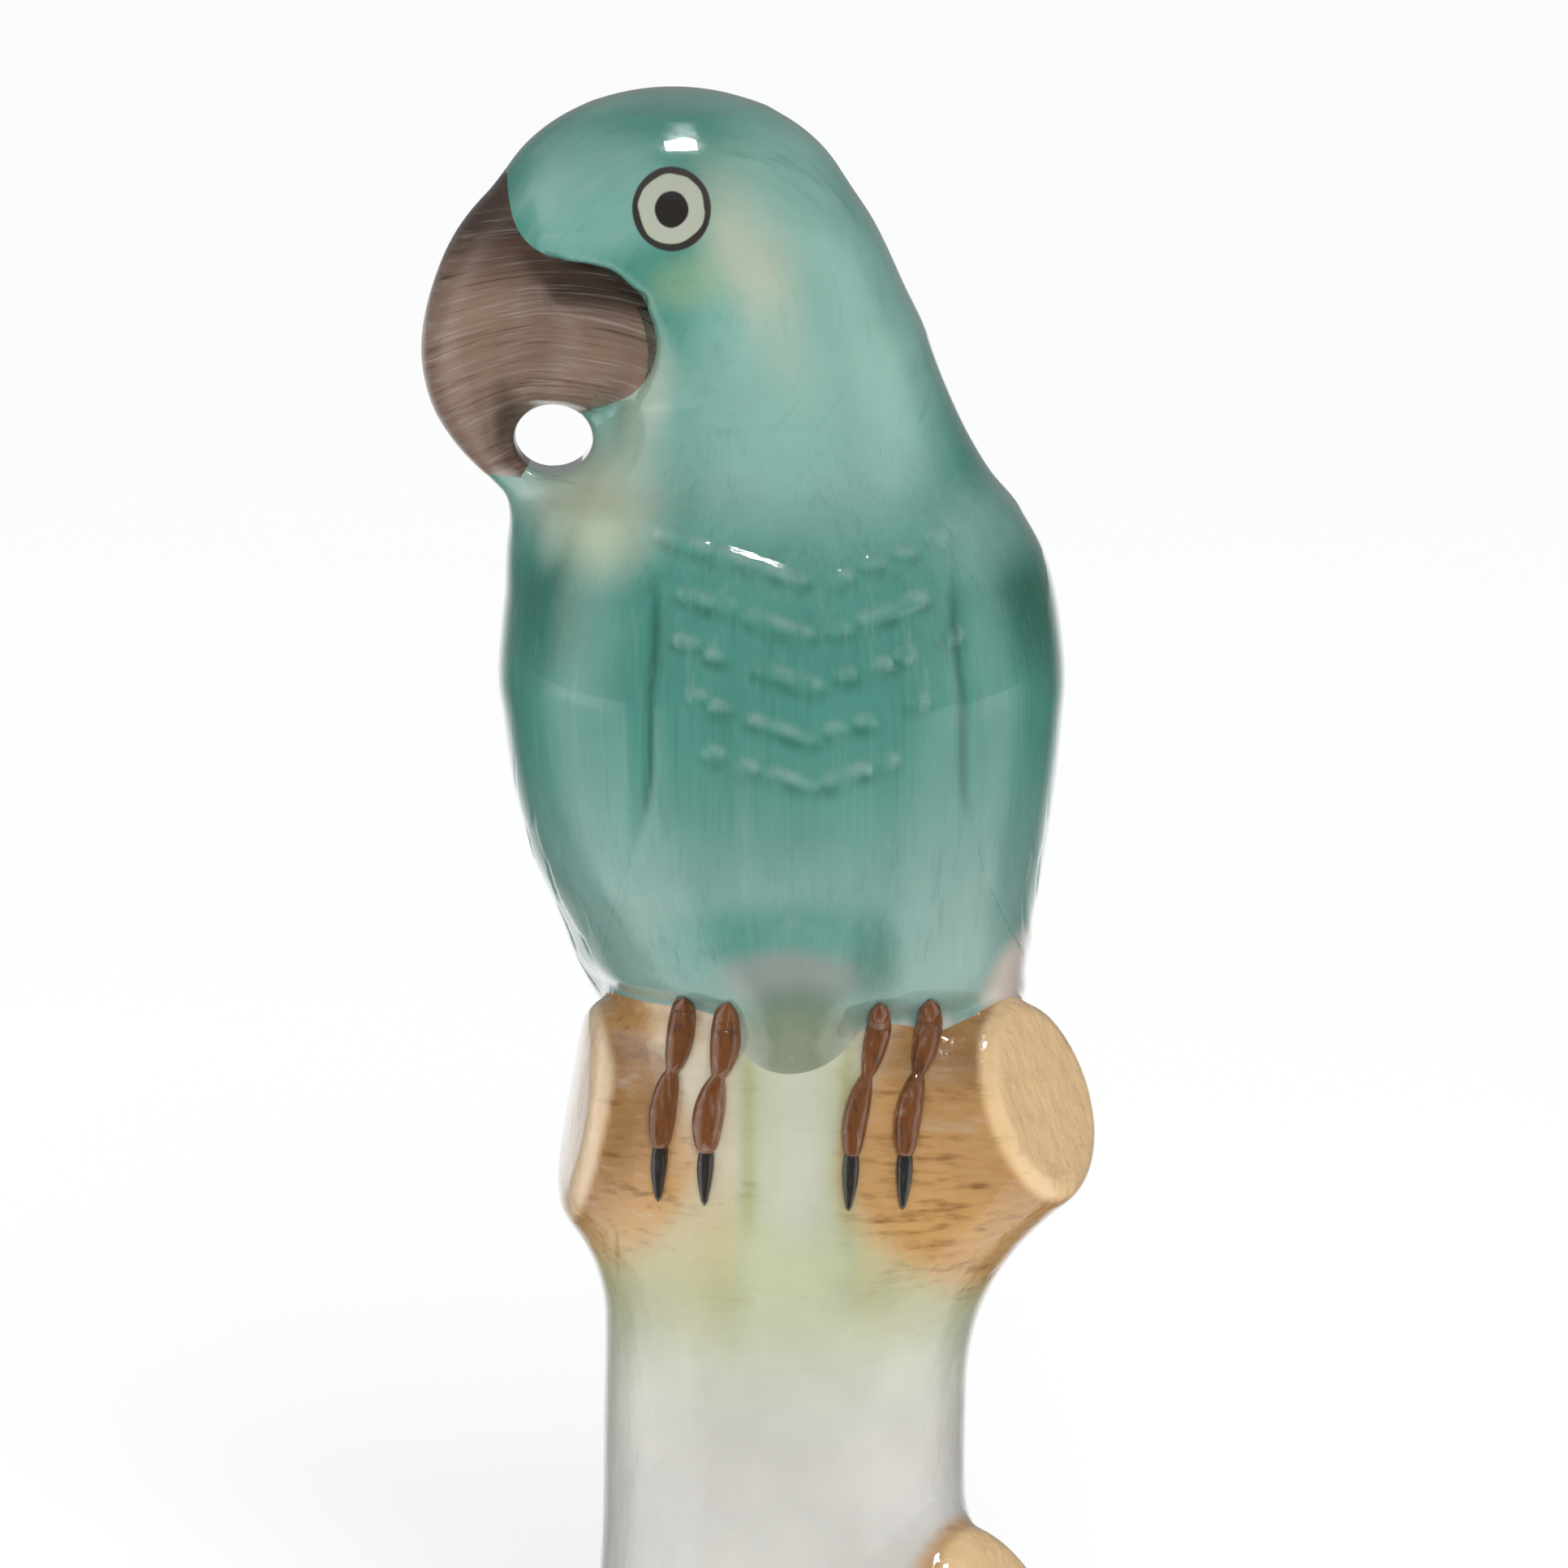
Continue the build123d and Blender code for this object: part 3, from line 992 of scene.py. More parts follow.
@dataclass
class BreastPads:
    """Short feather pads on the breast, in rows that run down to the breast bone from both sides."""

    foot: float
    bone: float = 2.0
    first: float = 32.9
    pitch: float = 3.3
    slope: float = 0.33

    def lines(self) -> list[tuple[Pair, Pair]]:
        """Both ends of each pad's middle line, as (x, z).

        Returns:
            The lines, row by row.
        """
        rows = [
            [(-10.0, 1.2), (-8.2, 1.0), (-5.9, 4.9), (1.7, 0.2), (3.8, 0.2), (5.9, 0.2), (8.2, 0.4)],
            [(-8.4, 1.4), (-6.0, 0.3), (-4.0, 3.4), (1.6, 0.2), (3.4, 3.6), (6.4, 0.3)],
            [(-8.7, 0.6), (-6.6, 0.2), (-3.3, 3.3), (2.0, 0.2), (4.3, 0.3), (5.8, 0.3), (9.0, 0.3)],
            [(-7.8, 0.2), (-6.4, 0.3), (-3.8, 3.5), (1.2, 0.3), (3.2, 0.3), (6.8, 0.2)],
            [(-6.8, 0.4), (-4.6, 0.4), (-2.6, 2.4), (1.0, 2.2), (4.6, 0.3)],
        ]
        lines = []
        for number, row in enumerate(rows):
            level = self.foot + self.first - self.pitch * number
            for start, length in row:
                ends = (start, start + length)
                middle = level + 0.12 * math.sin(7 * start)
                lines.append(tuple((self.bone + u, middle + self.slope * abs(u)) for u in ends))
        return lines

    def near(self, x: Array, z: Array) -> tuple[Array, Array]:
        """How far places are from the nearest pad's line, and how far above it, seen from the front.

        Args:
            x, z: Places in millimetres.

        Returns:
            The distance, and the height above the line.
        """
        best, above = np.full(x.shape, 99.0), np.zeros(x.shape)
        for start, end in self.lines():
            off_x, off_z = off_segment(x, z, start, end)
            away = np.hypot(off_x, off_z)
            above = np.where(away < best, off_z, above)
            best = np.minimum(away, best)
        return best, above


@dataclass(frozen=True)
class Fillets:
    """How softly each form runs into the clay before it, in millimetres."""

    mound: float = 0.1
    trunk: float = 7.0
    foot_ring: float = 0.5
    tail: float = 1.6
    body: float = 1.3
    head: float = 3.2
    web: float = 2.4
    face: float = 0.8
    beak: float = 0.6
    gape: float = 0.6
    gap: float = 1.3


class ParrotForms:
    """All forms of the figure, placed on the nodes of the frame."""

    fillets = Fillets()
    cheek_depth = 5.9
    gape_depth = 5.6
    gape_width = 0.3
    gap_radii = (2.62, 2.25)

    def __init__(self) -> None:
        """Reads the frame's nodes and places the forms on them."""
        right, left, low = (NodeBox.of(name) for name in ("right_perch_stub", "left_perch_stub", "lower_stub"))
        torso, head, beak = NodeBox.of("torso"), NodeBox.of("head"), NodeBox.of("upper_beak")
        self.base_top = NodeBox.of("base_mound").high[2]
        self.perch = left.middle[2] + 0.85
        self.foot = torso.low[2]
        self.neck = head.low[2]
        self.crown = head.high[2]
        self.middle_y = beak.middle[1]
        self.head_x = beak.low[0] + 16.95
        self.base = BaseMound(NodeBox.of("base_mound"))
        self.trunk = TrunkCasting(NodeBox.of("trunk"), self.perch)
        self.right_stub = SawnStub(
            (3.0, -1.2, self.perch - 7.4), (right.high[0] - 4.1, right.low[1] + 6.1, right.high[2] - 4.9),
            (0.81, -0.48, 0.33), 7.7, 6.6, 7.0)
        self.left_stub = SawnStub(
            (-1.0, -0.4, self.perch - 7.0), (left.low[0] + 2.5, left.low[1] + 6.8, left.high[2] - 6.0),
            (-0.97, -0.14, 0.22), 7.2, 6.0, 4.6)
        self.lower_stub = SawnStub(
            (3.0, -1.0, low.low[2] + 0.7), (low.high[0] - 4.0, low.low[1] + 5.2, low.high[2] - 5.4),
            (0.75, -0.5, 0.43), 6.6, 6.0, 5.0)
        self.torso = TorsoCasting(self.foot)
        self.head = HeadCasting(self.crown)
        self.tips = FoldedTips(self.foot)
        self.tail = TailCasting(NodeBox.of("tail"))
        self.wings = WingPlan(self.foot)
        self.breast = BreastPads(self.foot)
        self.beak = BeakPair((beak.low[0] + 5.65, beak.low[2] - 0.1), self.middle_y)
        self.gap = (self.beak.tip[0] + 3.4, self.beak.tip[1] + 3.6)

    def web(self, x: Array, y: Array, z: Array) -> Array:
        """Signed distance from the web of clay round the gap under the beak."""
        return ball_field(x, y, z, (self.gap[0] + 0.4, self.middle_y, self.gap[1] - 0.6), (4.9, 3.5, 4.6))

    def body(self, x: Array, y: Array, z: Array) -> Array:
        """Signed distance from body, neck and wings together."""
        body = soft_union(self.torso.field(x, y, z), self.tips.field(x, y, z), 3.0)
        return body - self.wings.rise(x, y, z)

    def face_recess(self, x: Array, y: Array, z: Array) -> Array:
        """Signed distance from the space that is taken off both cheeks so that the beak stands in the face."""
        inside = self.beak.socket().field(x, z)
        return np.maximum(inside, self.cheek_depth - np.abs(y - self.middle_y))

    def beak_field(self, x: Array, y: Array, z: Array) -> Array:
        """Signed distance from both halves of the beak, which run into each other under the gape."""
        return soft_union(self.beak.upper_field(x, y, z), self.beak.lower_field(x, y, z), 3.0)

    def gap_field(self, x: Array, y: Array, z: Array) -> Array:
        """Signed distance from the gap that goes right through between beak and throat.

        Args:
            x, y, z: Places in millimetres.

        Returns:
            The distance at each place.
        """
        wide, high = self.gap_radii
        near = np.sqrt(((x - self.gap[0]) / wide) ** 2 + ((z - self.gap[1]) / high) ** 2)
        return (near - 1) * 2.4 + 0 * y

    def gape(self, x: Array, z: Array) -> Array:
        """Distance from the line where the two halves of the beak meet."""
        return np.hypot(*off_segment(x, z, *self.beak.moved([(4.1, 14.0), (9.4, 13.6)]).points))

    def gape_groove(self, x: Array, y: Array, z: Array) -> Array:
        """Signed distance from the groove between the two halves of the beak, on both sides."""
        return np.maximum(self.gape(x, z) - self.gape_width, self.gape_depth - np.abs(y - self.middle_y))

    def work(self, lump: Lump) -> None:
        """Works every form into the lump, from the base up.

        Args:
            lump: The clay to work.
        """
        wide, top, soft = 32.0, self.crown + 3, self.fillets
        lump.add(self.base.field, (-wide, -wide, -3), (wide, wide, self.base_top + 8), soft.mound)
        lump.add(self.trunk.field, (-22, -22, 3), (22, 22, self.foot + 9), soft.trunk)
        lump.cut(self.base.hollows, (-wide, -wide, -3), (wide, wide, self.base_top + 1), soft.foot_ring)
        for stub in (self.lower_stub, self.right_stub, self.left_stub):
            around = np.minimum(stub.root, stub.end) - 14, np.maximum(stub.root, stub.end) + 14
            lump.add(stub.field, *around, stub.blend)
        lump.add(self.tail.field, self.tail.box.low - 6, self.tail.box.high + 6, soft.tail)
        lump.add(self.body, (-24, -24, self.foot - 12), (24, 24, top), soft.body)
        lump.add(self.head.field, (-26, -14, self.neck - 6), (12, 12, top), soft.head)
        tip_x, tip_z = self.beak.tip
        face = (tip_x - 9, -13.0, tip_z - 6), (tip_x + 15, 11.0, tip_z + 25)
        lump.add(self.web, *face, soft.web)
        lump.cut(self.face_recess, *face, soft.face)
        lump.add(self.beak_field, *face, soft.beak)
        lump.cut(self.gape_groove, *face, soft.gape)
        lump.cut(self.gap_field, *face, soft.gap)

    def marks(self, points: Array) -> Array:
        """The seam marks of points on the skin.

        Args:
            points: Places in millimetres.

        Returns:
            One row of marks for each point.
        """
        x, y, z = points.T
        marks = np.empty((len(points), len(Mark)))
        trunk, base, tail = (part.field(x, y, z) for part in (self.trunk, self.base, self.tail))
        stubs = [part.field(x, y, z) for part in (self.right_stub, self.left_stub, self.lower_stub)]
        upper, lower = self.beak.upper_field(x, y, z), self.beak.lower_field(x, y, z)
        beak = np.minimum(upper, lower)
        body, head = self.body(x, y, z), self.head.field(x, y, z)
        bird = np.minimum.reduce([body, head, beak, tail])
        tree = np.minimum.reduce([trunk, base, *stubs])
        wing = np.maximum.reduce([self.wings.edge(x, y, z), bird - tree + 0.5, body - tail + 0.5])
        marks[:, Mark.TREE] = tree - bird
        marks[:, Mark.BEAK] = self.beak.socket().field(x, z)
        marks[:, Mark.LOWER_BEAK] = lower - upper
        marks[:, Mark.TAIL] = tail - body
        marks[:, Mark.NECK] = self.neck - z
        marks[:, Mark.BASE] = np.maximum(base - trunk, z - self.base_top - 3)
        for mark, stub in zip((Mark.RIGHT_STUB, Mark.LEFT_STUB, Mark.LOWER_STUB), stubs):
            marks[:, mark] = stub - trunk
        marks[:, Mark.LEFT_WING] = np.maximum(wing, x + 0.7)
        marks[:, Mark.RIGHT_WING] = np.maximum(wing, 0.7 - x)
        return marks


# ------------------------------------------------ paint: colours laid on in washes under the glaze

class Pigment(Enum):
    """The painter's colours, as linear red, green and blue."""

    WHITE = (0.66, 0.645, 0.60)
    SHELL = (0.70, 0.60, 0.52)
    CREAM = (0.60, 0.61, 0.46)
    LIME = (0.47, 0.56, 0.27)
    AQUA = (0.30, 0.53, 0.46)
    MIST = (0.37, 0.50, 0.46)
    TEAL = (0.085, 0.29, 0.235)
    DEEP = (0.022, 0.115, 0.075)
    SLATE = (0.12, 0.20, 0.19)
    GREY = (0.30, 0.32, 0.29)
    SAWN = (0.90, 0.62, 0.33)
    BARK = (0.60, 0.31, 0.095)
    UMBER = (0.14, 0.055, 0.014)
    OLIVE = (0.38, 0.36, 0.10)
    HORN = (0.255, 0.168, 0.122)
    HORN_DARK = (0.05, 0.03, 0.022)
    CHESTNUT = (0.19, 0.068, 0.022)
    NAIL = (0.028, 0.024, 0.022)
    IRIS = (0.50, 0.53, 0.44)


class Washes:
    """Paint on the points of a casting: washes laid one over the other, and how boldly the brush shows."""

    def __init__(self, points: Array, normals: Array, ground: Pigment) -> None:
        """Starts with the ground colour all over.

        Args:
            points: Places in millimetres.
            normals: The skin's direction at each place.
            ground: The colour underneath.
        """
        self.x, self.y, self.z = points.T
        self.nx, self.ny, self.nz = normals.T
        self.colour = np.tile(np.array(ground.value), (len(points), 1))
        self.brush = np.zeros(len(points))

    def lay(self, pigment: Pigment, cover: Array, brush: float | None = None) -> None:
        """Lays a wash over what is there.

        Args:
            pigment: The colour.
            cover: How much of the ground it covers, from 0 to 1, at each point.
            brush: How boldly its brush strokes show.
        """
        cover = np.clip(cover, 0, 1)
        self.colour += (np.array(pigment.value) - self.colour) * cover[:, None]
        if brush is not None:
            self.brush += (brush - self.brush) * cover

    def dab(self, x: float, z: float, rx: float, rz: float, lean: float = 0.0, soft: float = 0.8) -> Array:
        """Cover of a soft oval dab seen from the front, 1 at its middle.

        Args:
            x, z: Middle of the dab.
            rx, rz: Its half sizes.
            lean: How far it leans to the right at its top, in degrees.
            soft: Share of the radius over which it fades.

        Returns:
            The cover at each point.
        """
        c, s = math.cos(math.radians(lean)), math.sin(math.radians(lean))
        dx, dz = self.x - x, self.z - z
        near = np.hypot((c * dx - s * dz) / rx, (s * dx + c * dz) / rz)
        return fade(1.0 + soft / 2, 1.0 - soft / 2, near) * fade(0.15, -0.1, self.ny)

    def values(self) -> Array:
        """Red, green, blue and brush boldness of every point."""
        return np.column_stack((self.colour, self.brush))


class ParrotPainter:
    """Where each colour goes on the bird and its tree, by the forms underneath."""

    def __init__(self, forms: ParrotForms) -> None:
        """Takes the forms that the colours follow."""
        self.forms = forms
        self.eye = (forms.head_x + 0.15, forms.crown - 7.5)

    def plumage(self, points: Array, normals: Array) -> Array:
        """Paint of torso, head, wings and tail.

        Args:
            points: Places in millimetres.
            normals: The skin's direction at each place.

        Returns:
            Red, green, blue and brush boldness of every point.
        """
        w, f = Washes(points, normals, Pigment.TEAL), self.forms
        ex, ez = self.eye
        foot, crown, tip_x, tip_z = f.foot, f.crown, *f.beak.tip
        w.brush[:] = 0.75
        front = fade(0.2, -0.3, w.ny)
        # Breast and belly: the wash thins towards the feet, and pools low in the middle.
        w.lay(Pigment.MIST, 0.62 * fade(foot + 24, foot + 6, w.z) * fade(0.3, -0.6, w.ny), 0.45)
        w.lay(Pigment.AQUA, 0.85 * w.dab(1.5, foot + 42, 8.5, 9.5), 0.5)
        w.lay(Pigment.AQUA, 0.8 * w.dab(3.0, crown - 15, 8.0, 8.0, -20), 0.5)
        w.lay(Pigment.TEAL, 0.75 * w.dab(1.0, foot + 31.5, 12.5, 5.5, 0, 1.2), 0.9)
        # Breast pads: painted shade in deep teal just below each raised pad and a painted highlight in mist on
        # its upper side, varied unevenly over the breast.
        near, above = f.breast.near(w.x, w.z)
        uneven_pad_shading = 0.55 + 0.45 * np.sin(1.9 * w.x + 1.3 * w.z) * np.sin(1.1 * w.z - 0.7 * w.x)
        w.lay(Pigment.DEEP, 0.6 * uneven_pad_shading * fade(1.5, 0.6, near) * fade(0.1, -0.6, above) * front, 1.0)
        w.lay(Pigment.MIST, 0.5 * uneven_pad_shading * fade(0.85, 0.25, near) * fade(-0.5, 0.3, above) * front, 0.6)
        # Head: crown and nape are strong, and the pale wash on the crown's upward-facing top edge is a painted
        # reflection.
        top = np.hypot((w.x - ex + 0.4) / 13.0, (w.z - ez + 1.0) / 10.0)
        w.lay(Pigment.TEAL, 0.6 * fade(0.62, 0.86, top) * fade(crown - 9, crown - 5, w.z), 1.0)
        w.lay(Pigment.AQUA, 0.5 * fade(crown - 2.2, crown - 0.4, w.z) * fade(0.3, 0.9, w.nz), 0.7)
        # Face: a teal cheek in front of the eye and a cream patch behind it.
        w.lay(Pigment.AQUA, 0.55 * w.dab(ex - 5.0, ez + 1.0, 4.6, 4.2), 0.9)
        w.lay(Pigment.CREAM, 0.75 * w.dab(ex + 5.0, ez - 1.9, 2.6, 4.4, -24, 1.6), 0.2)
        w.lay(Pigment.AQUA, 0.75 * w.dab(ex + 8.4, ez + 2.0, 4.2, 5.0, -30, 1.4), 0.9)
        w.lay(Pigment.LIME, 0.3 * w.dab(ex + 1.0, ez - 4.8, 2.4, 1.6, -20, 1.4), 0.2)
        w.lay(Pigment.CREAM, 0.25 * w.dab(ex + 6.8, ez - 7.5, 1.8, 4.6, -20, 1.3), 0.3)
        # Throat and the web under the beak.
        w.lay(Pigment.AQUA, 0.75 * w.dab(tip_x + 6.4, tip_z + 1.6, 4.8, 5.6, 30, 1.3), 0.5)
        w.lay(Pigment.WHITE, 0.35 * w.dab(tip_x + 3.6, tip_z + 1.0, 3.6, 2.8, 20, 1.4), 0.1)
        w.lay(Pigment.CREAM, 0.62 * w.dab(tip_x + 6.8, tip_z - 0.4, 3.2, 3.6, 40, 1.6), 0.15)
        w.lay(Pigment.LIME, 0.28 * w.dab(tip_x + 6.0, tip_z - 1.6, 2.6, 2.8, 20, 1.5), 0.1)
        w.lay(Pigment.CREAM, 0.4 * w.dab(tip_x + 9.6, tip_z + 7.0, 1.6, 3.6, 15, 1.2), 0.2)
        # Shoulders, with a soft painted highlight in aqua high on the right one.
        w.lay(Pigment.DEEP, 0.55 * w.dab(tip_x + 3.2, foot + 31.0, 2.4, 4.2, 8, 1.3), 1.0)
        w.lay(Pigment.DEEP, 0.72 * w.dab(16.6, foot + 30.4, 2.0, 4.4, -18, 1.6), 1.0)
        w.lay(Pigment.AQUA, 0.55 * w.dab(13.6, foot + 36.0, 3.4, 2.8, 0, 1.3), 0.4)
        # Wing: a darker line lies in the groove, and quills get darker towards their ends.
        edge = f.wings.edge(w.x, w.y, w.z)
        groove = np.exp(-((edge - 0.4) / 0.36) ** 2) * fade(foot + 35, foot + 30, w.z) * front
        w.lay(Pigment.DEEP, 0.7 * groove * fade(foot + 16, foot + 20, w.z), 1.0)
        along, _, shows = f.wings.feather(w.x, w.y, w.z)
        w.lay(Pigment.DEEP, 0.5 * shows * fade(18.0, 50.0, along), 1.0)
        w.lay(Pigment.DEEP, 0.45 * fade(foot + 2, foot - 22, w.z) * fade(0.0, 0.5, w.ny), 1.0)
        # Below, the colour ends in a soft line over the perch, except on the vent feathers' bulge.
        low = foot + 2.7 + 0.25 * np.sin(w.x * 1.9) + 0.2 * np.sin(w.x * 4.7 + 1)
        w.lay(Pigment.TEAL, 0.5 * w.dab(-5.0, foot + 8.0, 4.0, 3.0, 0, 1.2), 0.9)
        w.lay(Pigment.DEEP, 0.5 * w.dab(5.8, foot + 7.2, 1.7, 3.2, 0, 1.2), 1.0)
        w.lay(Pigment.TEAL, 0.6 * w.dab(0.6, foot + 9.6, 6.5, 2.2, 0, 1.2), 0.9)
        w.lay(Pigment.WHITE, 0.9 * fade(low + 0.8, low - 0.6, w.z) * front, 0.1)
        w.lay(Pigment.SHELL, 0.95 * w.dab(17.4, foot + 4.6, 3.6, 4.4, 35, 0.5), 0.1)
        # The vent feathers' bulge: a pale grey painted reflection on its top, and painted shade in slate and
        # olive on its underside.
        w.lay(Pigment.GREY, 0.8 * w.dab(0.3, foot + 6.5, 4.4, 2.0, 0, 0.8), 0.1)
        w.lay(Pigment.SLATE, 0.85 * w.dab(0.9, foot + 2.6, 3.7, 3.4, 0, 0.8), 0.3)
        w.lay(Pigment.OLIVE, 0.34 * w.dab(0.9, foot + 1.8, 4.2, 3.4, 0, 1.2), 0.3)
        return w.values()

    def tree(self, points: Array, normals: Array) -> Array:
        """Paint of trunk, base and stubs: white, with brown bark on the perch and a green tint down the middle.

        Args:
            points: Places in millimetres.
            normals: The skin's direction at each place.

        Returns:
            Red, green, blue and brush boldness of every point.
        """
        w, f = Washes(points, normals, Pigment.WHITE), self.forms
        perch = f.perch
        w.lay(Pigment.CREAM, 0.55 * fade(perch - 26, perch - 8, w.z), 0.1)
        w.lay(Pigment.LIME, 0.30 * fade(perch - 20, perch - 9, w.z) * fade(perch - 2, perch - 10, w.z), 0.1)
        facing = fade(0, -0.4, w.ny)
        from_ridge = np.abs(w.x - 0.9)
        w.lay(Pigment.LIME, 0.42 * fade(6.5, 1.2, from_ridge) * fade(perch - 18, perch - 6, w.z) * facing, 0.1)
        w.lay(Pigment.WHITE, 0.45 * fade(2.4, 0.4, from_ridge) * fade(perch - 8, perch - 3, w.z) * facing, 0.1)
        line = np.exp(-((from_ridge - 3.3) / 0.6) ** 2) * fade(perch - 8, perch - 3, w.z)
        w.lay(Pigment.OLIVE, 0.5 * line * facing, 0.6)
        below = fade(perch - 17, perch - 9, w.z) * fade(perch, perch - 6, w.z)
        w.lay(Pigment.OLIVE, 0.42 * fade(2.0, 5.0, from_ridge) * below, 0.4)
        w.lay(Pigment.SAWN, 0.3 * fade(3.6, 4.8, from_ridge) * fade(perch - 12, perch - 4, w.z) * facing, 0.5)
        for stub, side, drop, near in ((f.right_stub, 1, 9.0, 0.30), (f.left_stub, -1, 6.5, 0.42)):
            share, off = stub.along(w.x, w.y, w.z)
            upper = fade(perch - drop - 1.4, perch - drop + 6.0, w.z + 0.35 * side * w.x)
            upper *= fade(stub.root_radius + 4.5, stub.root_radius + 2.0, off)
            w.lay(Pigment.BARK, 0.88 * fade(near, near + 0.18, share) * upper, 1.0)
            w.lay(Pigment.UMBER, (0.2 if side > 0 else 0.5) * fade(0.6, 0.9, share) * upper, 1.0)
            brow = upper * fade(perch + 3.5, perch + 6.5, w.z)
            w.lay(Pigment.UMBER, 0.45 * fade(near, near + 0.2, share) * brow, 1.0)
        w.lay(Pigment.BARK, 0.5 * fade(f.foot + 0.6, f.foot + 2.4, w.z) * fade(5.5, 7.5, from_ridge), 1.0)
        share, off = f.lower_stub.along(w.x, w.y, w.z)
        w.lay(Pigment.BARK, 0.85 * fade(0.55, 0.85, share) * fade(8.6, 7.2, off), 1.0)
        w.lay(Pigment.LIME, 0.55 * fade(9.5, 4.0, w.z) * fade(0.1, 0.8, w.nz), 0.3)
        for stub in (f.right_stub, f.left_stub, f.lower_stub):
            share, off = stub.along(w.x, w.y, w.z)
            sawn = fade(-1.15, -0.45, stub.past_saw(w.x, w.y, w.z)) * fade(0.55, 0.8, share)
            sawn *= fade(stub.end_radius + 1.5, stub.end_radius + 0.6, off)
            w.lay(Pigment.SAWN, sawn, 0.25)
            # The left stub's sawn face is painted paler with shell: painted light, standing in for light from
            # the left.
            w.lay(Pigment.SHELL, 0.4 * sawn * fade(0, -4, w.x), 0.2)
        return w.values()

    def horn(self, points: Array, normals: Array) -> Array:
        """Paint of the beak: darkest at its root, with painted shade in the gape and inside the hook, and pale
        at the tip.

        Args:
            points: Places in millimetres.
            normals: The skin's direction at each place.

        Returns:
            Red, green, blue and brush boldness of every point.
        """
        w, f = Washes(points, normals, Pigment.HORN), self.forms
        tip_x, tip_z = f.beak.tip
        w.brush[:] = 1.0
        w.lay(Pigment.HORN_DARK, 0.9 * fade(tip_z + 12.5, tip_z + 18.5, w.z + 0.25 * (w.x - tip_x)), 1.0)
        # Painted shade: a dark line along the gape groove, a painted shadow in the recess under the face's
        # edge, and a dark dab of painted shade on the underside inside the hook.
        w.lay(Pigment.HORN_DARK, 0.85 * fade(2.2, 0.2, f.gape(w.x, w.z)), 1.0)
        painted_gape_shadow = f.beak.moved([(1.6, 16.6), (6.0, 15.8), (9.0, 14.0), (3.6, 13.8)]).field(w.x, w.z)
        w.lay(Pigment.HORN_DARK, 0.8 * fade(0.7, -0.7, painted_gape_shadow), 1.0)
        w.lay(Pigment.HORN_DARK, 0.6 * w.dab(tip_x + 0.6, tip_z + 3.6, 0.9, 4.0, -8, 1.0), 1.0)
        w.lay(Pigment.WHITE, 0.55 * w.dab(tip_x + 0.2, tip_z + 0.2, 1.2, 1.2, 0, 1.0), 0.3)
        return w.values()


# ------------------------------------------------ node trees

class Bench:
    """Lays out a node tree: each call adds a node and feeds its inputs with numbers or links."""

    def __init__(self, tree: bpy.types.NodeTree) -> None:
        """Takes the tree to work on."""
        self.tree = tree

    def feed(self, socket: Socket, value: object) -> None:
        """Links a socket to another, or sets its number. None leaves it alone.

        Args:
            socket: The input.
            value: A socket, a number, a colour or None.
        """
        if isinstance(value, Socket):
            self.tree.links.new(value, socket)
        elif value is not None:
            socket.default_value = value

    def node(self, kind: str, *inputs: object, **settings: object) -> bpy.types.Node:
        """Adds a node.

        Args:
            kind: Its type.
            inputs: What its sockets take, in their order.
            settings: Its own settings.

        Returns:
            The node.
        """
        node = self.tree.nodes.new(kind)
        for name, value in settings.items():
            setattr(node, name, value)
        for place, value in enumerate(inputs):
            self.feed(node.inputs[place], value)
        return node

    def math(self, operation: str, *values: object, clamp: bool = False) -> Socket:
        """One arithmetic step."""
        return self.node("ShaderNodeMath", *values, operation=operation, use_clamp=clamp).outputs[0]

    def times(self, first: object, *others: object) -> Socket:
        """The product of several numbers.

        Args:
            first: A number or socket.
            others: What it is multiplied by.

        Returns:
            The product.
        """
        for other in others:
            first = self.math("MULTIPLY", first, other)
        return first

    def vector(self, operation: str, *values: object) -> Socket:
        """One step with vectors."""
        return self.node("ShaderNodeVectorMath", *values, operation=operation).outputs[0]

    def fade(self, low: float, high: float, value: Socket) -> Socket:
        """0 at low, 1 at high, with an even start and end."""
        eased = self.node("ShaderNodeMapRange", value, low, high, 0.0, 1.0, interpolation_type="SMOOTHSTEP")
        return eased.outputs[0]

    def mix(self, cover: object, under: object, over: object, how: str = "MIX") -> Socket:
        """One colour over another.

        Args:
            cover: How much of the upper colour shows.
            under: The lower colour.
            over: The upper colour.
            how: The way they blend.

        Returns:
            The mixed colour.
        """
        node = self.tree.nodes.new("ShaderNodeMix")
        node.data_type, node.blend_type = "RGBA", how
        for socket, value in zip((node.inputs[0], node.inputs[6], node.inputs[7]), (cover, under, over)):
            self.feed(socket, value)
        return node.outputs[2]

    def noise(self, place: Socket, grain: Triple, detail: float = 2.0,
              shift: float = 0.0) -> Socket:
        """Even noise from 0 to 1, with its own grain each way.

        Args:
            place: The coordinates in millimetres.
            grain: Size of a grain each way in millimetres.
            detail: How many finer layers it has.
            shift: Moves the pattern, so that two don't match.

        Returns:
            The noise.
        """
        off = (shift, shift * 0.7, shift * 1.3)
        scaled = self.vector("MULTIPLY_ADD", place, tuple(1 / g for g in grain), off)
        return self.node("ShaderNodeTexNoise", scaled, None, 1.0, detail, 0.55).outputs[0]

    def millimetres(self) -> Socket:
        """Object coordinates in millimetres."""
        place = self.node("ShaderNodeTexCoord").outputs["Object"]
        return self.vector("SCALE", place, None, None, 1 / MM)


def rgba(pigment: Pigment, share: float = 1.0) -> tuple[float, float, float, float]:
    """A pigment as a socket's colour, darkened to a share of itself."""
    return (*(share * channel for channel in pigment.value), 1.0)


